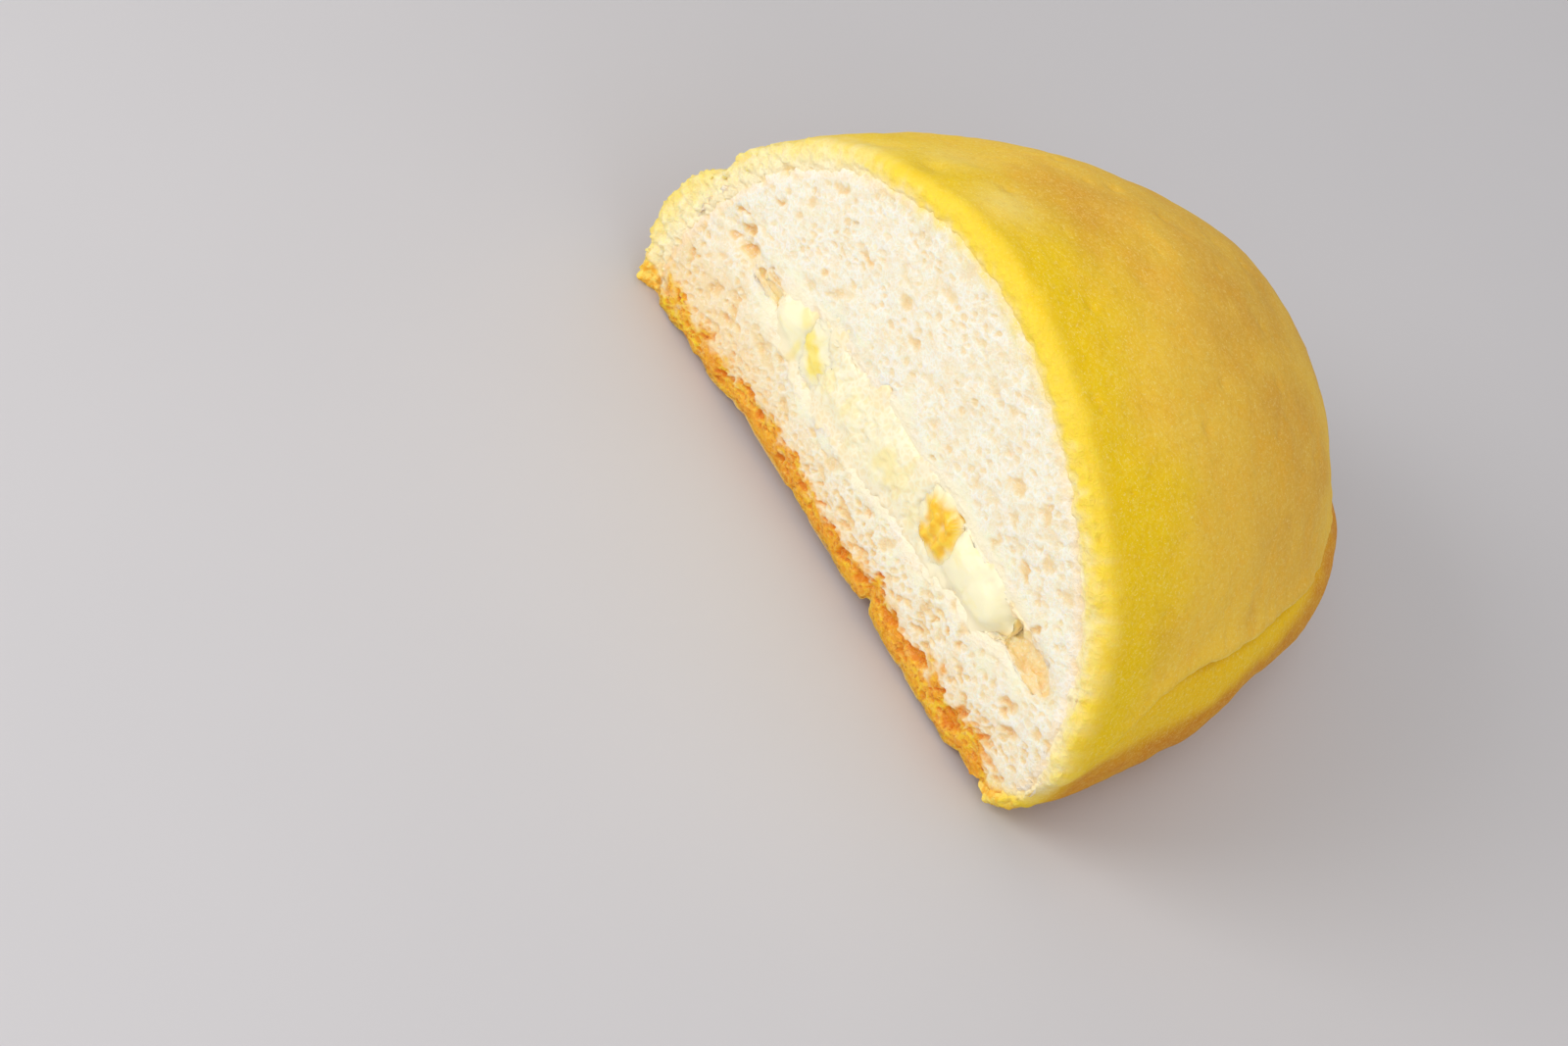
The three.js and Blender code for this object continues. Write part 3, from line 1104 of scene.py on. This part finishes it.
@dataclass
class BreadCrumb:
    """The white crumb, cut open, with its pores, hollows and browned base.

    Attributes:
        voxel: Size of the even net, in millimetres.
        base_line: The base's arch at the cut, as places along it and heights.
        crust_line: Thickness of the browned base at the cut, in the same way.
        chance_pores: How many small pores are scattered over the cut.
        pores: The large pores that stand out at the cut, each by the numbers of a Pore.
    """

    voxel: float = 1.0
    base_line: tuple[Row, Row] = (
        (-44, -38, -34, -26, -22, -17, -8, 1, 6, 9.4, 10.1, 10.9, 11.4, 16, 24, 29.7, 32, 36, 38.5),
        (0, 0, 0.6, 0.6, 1.5, 1.8, 1.6, 1.5, 1.2, 1.6, 2.9, 2.9, 1.6, 1.0, 0.7, 0.6, 1.8, 1.2, 0.2),
    )
    crust_line: tuple[Row, Row] = (
        (-44, -36, -20, 0, 12, 20, 28, 36, 40),
        (2.9, 3.1, 3.9, 3.3, 3.0, 3.9, 4.7, 3.4, 2.3),
    )
    chance_pores: int = 500
    pores: tuple[Row, ...] = (
        (-31.3, 31.5, 1.3, 0.5, 0.7, 0.8), (-33.6, 22.0, 0.8, 0.4, 0.7, 0.9),
        (-18.6, 35.7, 0.8, 0.3, 0.7, 0.3), (-14.9, 33.9, 1.7, 0.5, 0.6, 0.3),
        (-38.2, 10.3, 1.2, 0.8, 0.8, -1.1), (-37.2, 12.7, 0.8, 0.4, 0.5, 0.9),
        (-32.3, 10.3, 1.3, 1.0, 0.7, -0.5), (-28.3, 8.9, 1.6, 0.7, 0.7, 0.3),
        (-25.8, 20.1, 0.7, 0.3, 0.8, 0.9), (-15.7, 26.8, 2.3, 0.8, 0.4, 1.0),
        (-16.0, 20.9, 0.5, 0.25, 0.9, 0.7), (-36.2, 3.9, 1.1, 0.5, 0.9, -0.6),
        (19.9, 33.9, 1.4, 1.2, 0.5, 0.5), (25.0, 34.9, 1.7, 0.8, 0.45, -0.9),
        (21.8, 30.5, 1.2, 0.7, 0.4, -0.8), (28.4, 30.8, 1.2, 1.0, 0.45, -0.8),
        (26.1, 27.3, 1.3, 0.7, 0.6, -0.8), (21.2, 25.5, 1.2, 0.7, 0.6, 1.0),
        (32.8, 30.1, 1.4, 1.1, 0.4, 1.3), (18.6, 7.3, 1.0, 0.5, 0.7, 0.9),
        (22.3, 11.4, 0.5, 0.4, 0.9, 0.0), (24.5, 12.0, 1.0, 0.4, 0.7, 0.9),
        (20.8, 6.8, 0.9, 0.7, 0.6, 0.5), (23.8, 13.8, 1.2, 0.7, 0.6, 0.8),
        (34.3, 13.4, 2.1, 0.9, 0.8, 0.6), (36.2, 10.6, 1.7, 0.8, 0.8, 0.8),
        (33.8, 6.4, 1.2, 0.5, 0.8, 0.8), (8.6, 10.9, 1.7, 0.8, 0.5, 0.9),
        (2.1, 6.3, 1.4, 0.5, 0.8, 0.7), (5.9, 6.1, 2.2, 0.8, 0.7, 0.7), (10.1, 6.6, 1.1, 0.5, 1.0, 0.9),
        (8.1, 2.9, 1.6, 0.7, 1.0, 0.6), (3.7, 2.7, 1.2, 0.6, 1.0, 0.9), (14.3, 3.8, 2.1, 1.0, 1.0, 0.6),
        (20.4, 4.5, 2.5, 1.1, 1.0, 0.3), (25.6, 4.6, 1.3, 0.3, 1.0, 0.7),
        (29.0, 3.4, 1.8, 1.4, 1.1, 0.0), (29.4, 5.8, 1.7, 0.8, 0.9, 1.0),
        (38.6, 4.8, 1.4, 0.5, 0.8, 0.9), (31.4, 22.9, 1.5, 0.5, 1.0, 0.9),
        (-2.9, 32.6, 1.4, 0.9, 0.5, 0.2), (7.7, 25.1, 0.8, 0.4, 0.9, 0.3),
        (-34.6, 21.4, 1.0, 0.4, 0.9, 0.9), (-32.0, 20.6, 1.6, 0.9, 1.0, 0.9),
        (-30.4, 18.6, 2.2, 0.8, 1.0, 0.7), (-25.5, 18.7, 1.8, 0.9, 1.0, 0.4),
        (-21.9, 19.4, 1.0, 0.5, 0.9, 0.6), (-21.4, 11.2, 3.7, 1.2, 0.5, -0.2),
        (-33.7, 17.7, 1.2, 0.5, 0.7, 0.5), (-29.6, 27.2, 0.7, 0.35, 0.7, 0.8),
        (-25.6, 31.7, 1.2, 0.9, 0.4, 1.3), (-22.5, 37.0, 1.3, 0.5, 0.5, 0.8),
        (-19.0, 27.0, 0.7, 0.5, 0.5, 0.6), (-15.1, 22.6, 0.8, 0.6, 0.5, -0.6),
        (2.8, 9.9, 0.9, 0.5, 0.6, 0.7), (11.7, 14.5, 1.1, 0.5, 0.5, 0.8),
        (17.6, 12.2, 1.2, 0.7, 0.5, 0.3), (19.7, 10.8, 0.8, 0.4, 0.8, 0.9),
        (32.6, 25.3, 0.8, 0.5, 0.6, -1.3), (28.8, 2.6, 1.6, 1.0, 1.1, 0.4),
        (14.1, 4.0, 1.7, 0.9, 0.9, 0.2), (3.9, 2.2, 1.3, 0.9, 1.1, 0.3), (8.0, 3.2, 1.4, 0.8, 1.1, 0.5),
        (-2.1, 5.0, 1.0, 0.6, 0.8, 0.6), (1.9, 6.2, 1.1, 0.6, 0.7, 0.6),
        (-11.1, 2.1, 1.1, 0.7, 1.0, 0.5), (-6.2, 3.1, 1.0, 0.6, 0.9, 0.7),
        (-24.8, 2.2, 1.2, 0.7, 1.0, 0.3), (-19.9, 4.5, 1.2, 0.8, 1.0, 0.8),
        (-16.9, 3.4, 1.2, 0.8, 1.1, 0.9), (-6.7, 35.2, 1.5, 1.0, 0.45, 0.0),
        (-1.8, 41.6, 1.3, 0.9, 0.4, -0.3),
    )

    def build(self) -> Piece:
        """Builds and dresses the crumb.

        Returns:
            The finished piece.
        """
        piece = copy_of("bread_crumb", "crumb_bread")
        remeshed(piece, self.voxel)
        relaxed(piece, 1)
        _, depth, z = Clay(piece).points.T
        refined(piece, (depth < 1.3) | ((depth < 9) & (np.abs(z - CREAM_RISE) < 4)), 3)
        _, depth, z = Clay(piece).points.T
        refined(piece, (z < 1.3) & (depth > 1.0), 1)
        self.shape(piece)
        finished(piece, CrumbFinish().material(), "bread_crumb", "bread_crumb")
        return piece

    def arch(self, x: Numbers, depth: Numbers) -> Numbers:
        """Height of the base's underside over the floor at places behind the cut."""
        return np.interp(x, *self.base_line) * np.exp(-((depth / 14) ** 2))

    def opened(self, x: Numbers, z: Numbers) -> tuple[Numbers, Numbers]:
        """Depth and painted shade of all the pores in the cut.

        Args:
            x: Places along the cut.
            z: Heights in the cut.

        Returns:
            The depth and the painted shade at each place.
        """
        dice = np.random.default_rng(8)
        sink = np.zeros(len(x))
        shade = np.zeros(len(x))
        many = [Pore(*numbers) for numbers in self.pores]
        for _ in range(self.chance_pores):
            place, height = dice.uniform(-42, 43), 48 * dice.uniform(0.02, 1) ** 1.15
            low = height < 15
            size = dice.gamma(2.4, 0.16 if low else 0.21) + 0.15
            slant = dice.normal(0.1, 0.7)
            depth = dice.uniform(0.25, 0.75) if low else dice.uniform(0.16, 0.44) / (1 + 0.3 * size)
            many.append(Pore(place, height, size * 1.35, size * 0.8, depth, slant))
        flat = np.stack([x, z, z * 0], axis=1)
        wobble_x = x + 0.28 * Lumps(1.1, 30, 2).at(flat)
        wobble_z = z + 0.28 * Lumps(1.1, 31, 2).at(flat)
        for pore in many:
            reach = 1.5 * pore.length + 0.5
            close = (np.abs(x - pore.across) < reach) & (np.abs(z - pore.up) < reach)
            depth, tint = pore.at(wobble_x[close], wobble_z[close])
            sink[close] = np.maximum(sink[close], depth)
            shade[close] = np.maximum(shade[close], tint)
        return sink, shade

    def pitted(self, x: Numbers, z: Numbers) -> tuple[Numbers, Numbers]:
        """Depth and painted shade of the bubbles and the pores together.

        Args:
            x: Places along the cut.
            z: Heights in the cut.

        Returns:
            The depth and the painted shade at each place.
        """
        low = fade(z, 18, 4)
        wall, chance = Foam(1.15, 40, 1.2, 0.4).at(x, z)
        lace = fade(wall, 0.02, 0.42)
        sink = lace * (0.05 + 0.26 * chance**2) * (1 + 0.7 * low)
        wall2, chance2 = Foam(0.6, 41, 1.15, 0.8).at(x, z)
        sink += fade(wall2, 0.02, 0.4) * 0.1 * chance2
        pores, shade = self.opened(x, z)
        # Painted shade inside the bubbles, darker where they sink deeper.
        tint = (0.12 + 0.5 * chance**2) * (0.6 + 0.4 * low) * lace
        return sink + 0.75 * pores, np.maximum(shade, tint)

    def shape(self, piece: Piece) -> None:
        """Opens the pores, arches the base and marks where the crumb changes colour.

        Args:
            piece: The crumb.
        """
        clay = Clay(piece)
        outline = CrumbOutline()
        x, depth, z = clay.points.T
        spread = fade(depth, 3.0, 1.0) * fade(outline.gap(x, z), 2.0, 0.4) * fade(z, 1.0, 5.0)
        clay.push(1.1 * spread, outline.outward(x, z))
        spots = clay.points.copy()
        x, depth, z = spots.T
        at_cut = fade(depth, 2.2, 0.6)
        face = at_cut * fade(-clay.facing[:, 1], 0.2, 0.7)
        flat = at_cut * fade(-clay.facing[:, 1], 0.6, 0.9)
        yellowed = fade(lemon_share(spots), 0.1, 0.6)
        soft = 1 - 0.85 * np.maximum(0.7 * self.soaking(spots), yellowed)
        pitted, shade = self.pitted(x, z)
        sink = pitted * soft * flat + cut_level(spots)
        sink += 0.65 * fade(torn_gap(spots), 0.3, -0.9)
        clay.push(sink * face, INWARD)
        inside = (1 - face) * fade(depth, 9, 7) * fade(np.abs(z - CREAM_RISE), 4.5, 3.5)
        clay.push(-0.66 * depth * inside, INWARD)
        clay.push(inside * (0.38 * Lumps(1.8, 43, 2).at(spots) + 0.26 * Lumps(0.9, 47).at(spots)))
        swell = fade(z, 1.0, 3.0) * (1 - inside) * (1 - spread) * fade(depth, 8, 4)
        swell *= 1 - fade(z, 9, 6) * fade(np.abs(x), 30, 34)
        clay.push((0.45 + 0.25 * Lumps(1.5, 46, 2).at(spots)) * swell * (1 - face))
        clay.push(self.arch(x, depth) * fade(z, 9, 0), UPWARD)
        rough = 0.35 * Lumps(2.6, 44, 2).at(spots) + 0.16 * Lumps(0.9, 45).at(spots)
        clay.push(np.maximum(rough, -0.1) * fade(z, 1.6, 0.4) + 0.05, UPWARD)
        self.colour(clay, spots, shade * soft, face)
        clay.settle()

    def soaking(self, spots: Numbers) -> Numbers:
        """How much cream the crumb has taken up, one beside the cream."""
        outside = -CreamOutline().gap(spots[:, 0], spots[:, 2])
        return fade(outside + 1.1 * Lumps(2.6, 51, 3).at(spots), 3.4, 0.4)

    def colour(self, clay: Clay, spots: Numbers, sink: Numbers, face: Numbers) -> None:
        """Marks the painted pore shade, painted hollow shade, crust, soaked and lemon parts of the
        crumb.

        Args:
            clay: The crumb's points.
            spots: Their places before the pushes.
            sink: Painted shade of the pores at each point.
            face: How much each point belongs to the cut.
        """
        x, depth, z = spots.T
        ragged = Lumps(1.7, 50, 3).at(spots)
        thick = np.interp(x, *self.crust_line)
        over = z - 0.5 * self.arch(x, depth) + 1.25 * ragged + 0.5 * Lumps(5, 52, 2).at(spots)
        # Painted shade: deeper pores carry the crust colour higher.
        over -= 1.4 * sink * face
        side = fade(x, 8, -30)
        # Painted shade: a tan laid into the hollows beside the cream.
        hollow = fade(np.abs(z - 19.8), 3.4, 1.5) * fade(x, 26, 29)
        hollow += fade(np.abs(z - 18.4), 2.2, 0.8) * fade(x, -18, -21)
        hollow_shade = np.clip(hollow, 0, 1) * (1 - 0.7 * face) * (0.75 + 0.35 * ragged)
        scorch = fade(Lumps(2.2, 53, 2).at(spots), 0.0, 0.6) * 0.6
        scorch = np.maximum(scorch, 0.5 * fade(z - self.arch(x, depth), 1.0, 0.2))
        # Painted shade inside the pores on the cut, deeper ones darker, and an even share of it off the
        # cut.
        clay.mark("pore", np.where(face > 0.02, sink * face, 0.3 * (1 - face)))
        clay.mark("crust", fade(over, thick + 1.4, thick - 1.1))
        # Scorched spots at random and on the underside, plus painted shade in the deepest pores.
        clay.mark("scorch", np.maximum(scorch, fade(sink * face, 0.5, 1.0)))
        # Painted hollow shade.
        clay.mark("hollow_shade", np.clip(hollow_shade, 0, 1))
        clay.mark("toast", 0.4 * fade(over, thick + 3.6, thick + 0.2))
        clay.mark("warm", (0.3 + 0.5 * side) * fade(z + 2.0 * ragged - 5 * side, 15, 2))
        clay.mark("soaked", self.soaking(spots))
        clay.mark("lemon", lemon_share(spots))
        at_coat = fade(CrumbOutline().gap(x, z), 1.4, 0.3)
        at_cream = fade(CreamOutline().gap(x, z), -2.2, -1.0)
        clay.mark("seam", np.maximum(at_coat, at_cream) * fade(depth, 2.5, 1.0))


@dataclass
class LemonCream:
    """The band of lemon cream, swelling in lobes at the cut.

    Attributes:
        voxel: Size of the even net, in millimetres.
        lobes: The lobes that stand out at the cut: place along it, height, reach and how far.
    """

    voxel: float = 0.55
    lobes: tuple[Row, ...] = (
        (-18.5, 17.8, 4.6, 0.75),
        (-6.0, 18.0, 4.0, 0.3),
        (2.0, 18.0, 5.0, 0.4),
        (19.5, 19.5, 4.2, 0.8),
        (24.5, 18.4, 4.4, 1.0),
    )

    def build(self) -> Piece:
        """Builds and dresses the cream.

        Returns:
            The finished piece.
        """
        piece = copy_of("lemon_cream", "cream_lemon")
        remeshed(piece, self.voxel)
        relaxed(piece, 2)
        refined(piece, Clay(piece).points[:, 1] < 0.8, 1)
        clay = Clay(piece)
        outline = CreamOutline()
        x, depth, z = clay.points.T
        spread = fade(depth, 3.5, 1.2) * fade(outline.gap(x, z), 2.0, 0.0)
        ragged = 1.8 + 1.2 * Lumps(4.5, 60).at(clay.points) + 0.6 * Lumps(1.5, 65, 2).at(clay.points)
        ragged = np.maximum(ragged, 0.9) * fade(x, 30.0, 26.0)
        clay.push(ragged * spread, outline.outward(x, z))
        spots = clay.points.copy()
        x, depth, z = spots.T
        face = fade(depth, 2.5, 0.4) * fade(-clay.facing[:, 1], 0.1, 0.6)
        clay.push((0.5 + 0.25 * Lumps(3.0, 64, 2).at(spots)) * (1 - face) * (1 - spread))
        bulge = np.zeros(len(x))
        for across, up, reach, height in self.lobes:
            bulge = np.maximum(bulge, height * fade(mound(spots, (across, 0, up), reach), 0.2, 0.9))
        gap = outline.gap(x, z)
        between = fade(bulge, 0.6, 0.2)
        wall, chance = Foam(0.95, 66, 1.2, 0.4).at(x, z)
        bulge *= 1 - 0.8 * mound(spots, (-14.4, 0.0, 18.2), 3.4)
        stand = 0.08 + 0.95 * bulge * fade(gap, -0.8, 1.8) - 0.6 * fade(gap + ragged, 0.7, 0.0)
        stand -= 1.5 * fade(x, 24.5, 29.0) ** 2
        stand -= between * fade(wall, 0.02, 0.4) * 0.3 * chance**2
        stand += 0.08 * Lumps(3.2, 61, 2).at(spots)
        stand += (0.04 + 0.12 * between) * Lumps(1.1, 62, 2).at(spots) - cut_level(spots)
        clay.push(-stand * face, INWARD)
        clay.points[:, 0] -= 0.1 * np.clip(clay.points[:, 0] - 24.5, 0, None) * fade(depth, 9, 4)
        clay.mark("seam", fade(gap, 0.4, -0.4))
        streak = fade(Lumps(2.4, 63, 2, (1.0, 1.0, 2.0)).at(spots), 0.15, 0.8) * fade(bulge, 0.8, 0.3)
        clay.mark("bready", between * fade(x, 17, 11))
        clay.mark("streak", streak * 0.7)
        clay.settle()
        finished(piece, CreamFinish().material(), "lemon_cream", "lemon_cream")
        return piece


class PeelPiece(Enum):
    """The two pieces of candied peel, each by its solid's name."""

    LARGE = "peel_large"
    SMALL = "peel_small"


@dataclass
class CandiedPeel:
    """A piece of candied peel, opened by the cut into glossy cells.

    Attributes:
        which: The piece.
        voxel: Size of the even net, in millimetres.
        arcs: The rind's glossy ridges at the cut, as places along it and heights.
    """

    which: PeelPiece
    voxel: float = 0.26
    arcs: tuple[tuple[tuple[float, float], ...], ...] = (
        ((11.6, 21.4), (12.8, 20.6), (13.2, 19.4), (12.8, 17.8), (12.0, 16.9)),
        ((14.5, 22.0), (15.2, 21.5), (15.4, 20.6), (15.2, 19.4), (14.6, 17.6)),
        ((-16.2, 18.8), (-14.8, 18.6), (-13.4, 17.2)),
    )

    def build(self) -> Piece:
        """Builds and dresses the piece of peel.

        Returns:
            The finished piece.
        """
        piece = copy_of(self.which.value, self.which.value + "_candied")
        remeshed(piece, self.voxel)
        relaxed(piece, 2)
        clay = Clay(piece)
        spots = clay.points.copy()
        x, depth, z = spots.T
        face = fade(depth, 1.8, 0.4) * fade(-clay.facing[:, 1], 0.1, 0.6)
        middle = spots[depth < 0.3].mean(axis=0)
        outward = (spots - middle) * IN_CUT
        outward /= np.maximum(np.linalg.norm(outward, axis=1), 0.1)[:, None]
        spread = fade(depth, 2.5, 0.8) * fade(np.abs(clay.facing[:, 1]), 0.98, 0.7)
        small = self.which is PeelPiece.SMALL
        reach = 1.6 if small else 1.2
        clay.push((reach + 0.4 * Lumps(1.2, 70, 2).at(spots)) * spread, outward)
        clay.push((0.4 + 0.2 * Lumps(1.6, 74, 2).at(spots)) * (1 - face) * (1 - spread))
        x, _, z = clay.points.T
        away = self.from_arcs(x, z)
        ridge = np.exp(-((away / 0.6) ** 2)) * (0.8 + 0.25 * Lumps(0.8, 75).at(spots))
        stand = 0.1 + (0.2 if small else 0.7) * ridge - 0.32 * spread
        stand += 0.12 * Lumps(1.0, 72, 2).at(spots)
        clay.push(-(stand - cut_level(clay.points)) * face, INWARD)
        pith = fade(away + 0.4 * Lumps(0.9, 73).at(spots), 0.7, 2.0)
        clay.mark("pith", pith * np.maximum(face, spread))
        clay.settle()
        look = PeelFinish()
        if small:
            look = PeelFinish(linear(255, 234, 132), linear(255, 228, 108), linear(255, 246, 210))
        finished(piece, look.material(), "peel", self.which.value)
        return piece

    def from_arcs(self, x: Numbers, z: Numbers) -> Numbers:
        """Distance from the rind's ridges.

        Args:
            x: Places along the cut.
            z: Heights in the cut.

        Returns:
            The distance at each place.
        """
        nearest = np.full(len(x), 99.0)
        spots = np.stack([x, z], axis=1)
        for arc in self.arcs:
            for start, end in zip(np.array(arc[:-1]), np.array(arc[1:])):
                along = end - start
                share = np.clip((spots - start) @ along / (along @ along), 0, 1)
                away = np.linalg.norm(spots - start - share[:, None] * along, axis=1)
                nearest = np.minimum(nearest, away)
        return nearest


@dataclass
class LooseCrumbs:
    """Small crumbs that cling to the coat's torn edge at the cut's left end.

    Attributes:
        count: How many there are.
        sizes: The smallest and largest, in millimetres.
        start: Where along the cut they begin, towards its left end.
        reach: How far behind the cut they lie.
        sunk: The share of a crumb's size by which it is sunk into the coat.
    """

    count: int = 44
    sizes: tuple[float, float] = (0.15, 0.34)
    start: float = -33.0
    reach: float = 3.2
    sunk: float = 0.35

    def build(self, coat: Piece) -> Piece:
        """Builds and dresses the crumbs as one piece.

        Args:
            coat: The finished coat, which they cling to.

        Returns:
            The finished piece.
        """
        dice = np.random.default_rng(5)
        skin = Clay(coat)
        x, depth, z = skin.points.T
        side = np.abs(skin.facing[:, 1]) < 0.75
        edge = np.flatnonzero((x < self.start) & (depth < self.reach) & (z > 2) & side)
        mesh = bpy.data.meshes.new("crumbs_loose")
        with worked(mesh) as work:
            for index in dice.choice(edge, self.count, replace=False):
                size = dice.uniform(*self.sizes)
                where = skin.points[index] - self.sunk * size * skin.facing[index] + (0, CUT_Y, 0)
                turn = Euler(dice.uniform(0, 6, 3)).to_matrix().to_4x4()
                grown = Matrix.Diagonal((*(size * dice.uniform(0.7, 1.2, 3) * MM), 1))
                place = Matrix.Translation(Vector(where) * MM) @ turn @ grown
                bmesh.ops.create_icosphere(work, subdivisions=2, radius=1, matrix=place)
        piece = added("crumbs_loose", mesh)
        clay = Clay(piece)
        clay.push(0.14 * Lumps(0.5, 80, 2).at(clay.points))
        clay.mark("section", np.ones(len(clay.points)))
        clay.mark("inner", np.full(len(clay.points), 0.6))
        clay.settle()
        finished(piece, SpongeFinish().material(), "sponge_coat")
        return piece


@dataclass
class Studio:
    """The pale floor, the soft lights and the camera.

    Attributes:
        camera_place: The camera's place, in millimetres from the cut.
        right: The camera's right-hand direction.
        up: The camera's upward direction.
        lens: The lens, in millimetres.
    """

    camera_place: Spot = (225.487, -306.296, 337.777)
    right: Spot = (0.48094681, 0.78807074, 0.38423257)
    up: Spot = (-0.75201736, 0.14549877, 0.64288413)
    lens: float = 100.0

    def build(self) -> None:
        """Builds the floor, lights and camera."""
        self.floor()
        self.world()
        self.light("key", (-0.40, -0.90, 0.50), 0.62, 0.36, 1.85, (1.0, 0.985, 0.955))
        self.light("fill", (0.8, -0.5, 0.7), 0.8, 0.7, 1.55, (1.0, 0.99, 0.97))
        self.light("top", (0.0, 0.25, 1.0), 0.8, 0.6, 0.8, (1.0, 0.99, 0.97))
        self.camera()
        bpy.context.scene.view_settings.view_transform = "Standard"

    def floor(self) -> None:
        """Lays the floor."""
        mesh = bpy.data.meshes.new("floor")
        with worked(mesh) as work:
            bmesh.ops.create_grid(work, x_segments=4, y_segments=4, size=4.0)
        mesh.materials.append(FloorFinish().material())
        floor = added("floor", mesh)

    def world(self) -> None:
        """Sets the even light all round."""
        world = bpy.data.worlds.new("studio")
        world.use_nodes = True
        sky = world.node_tree.nodes["Background"]
        sky.inputs["Color"].default_value = (1.0, 0.99, 0.97, 1.0)
        sky.inputs["Strength"].default_value = 0.5
        bpy.context.scene.world = world

    def light(
        self,
        name: str,
        direction: Spot,
        distance: float,
        size: float,
        power: float,
        colour: Spot,
    ) -> None:
        """Hangs a soft square light that faces the bun.

        Args:
            name: The light's name.
            direction: Where it hangs, from the bun.
            distance: How far away, in metres.
            size: Its side, in metres.
            power: Its power, in watts.
            colour: Its colour.
        """
        lamp = bpy.data.lights.new(name, "AREA")
        lamp.shape = "SQUARE"
        lamp.size = size
        lamp.energy = power
        lamp.color = colour
        hung = added(name, lamp)
        back = Vector(direction).normalized()
        hung.location = back * distance + Vector((0, 0, 0.02))
        hung.rotation_euler = back.to_track_quat("Z", "Y").to_euler()

    def camera(self) -> None:
        """Sets up the camera at the photographed view."""
        lens = bpy.data.cameras.new("view")
        lens.lens = self.lens
        lens.sensor_width = 36.0
        lens.clip_start = 0.01
        lens.clip_end = 20.0
        camera = added("view", lens)
        right, up = Vector(self.right), Vector(self.up)
        back = right.cross(up)
        place = Vector(self.camera_place) + Vector((0, CUT_Y, 0))
        turned = Matrix((right, up, back)).transposed().to_4x4()
        camera.matrix_world = Matrix.Translation(place * MM) @ turned
        bpy.context.scene.camera = camera


def main() -> None:
    """Builds the half bun and its studio, in order."""
    logging.basicConfig(level=logging.INFO, format="%(name)s: %(message)s")
    Studio().build()
    coat = SpongeCoat().build()
    BreadCrumb().build()
    LemonCream().build()
    for which in PeelPiece:
        CandiedPeel(which).build()
    LooseCrumbs().build(coat)


if __name__ == "__main__":
    main()
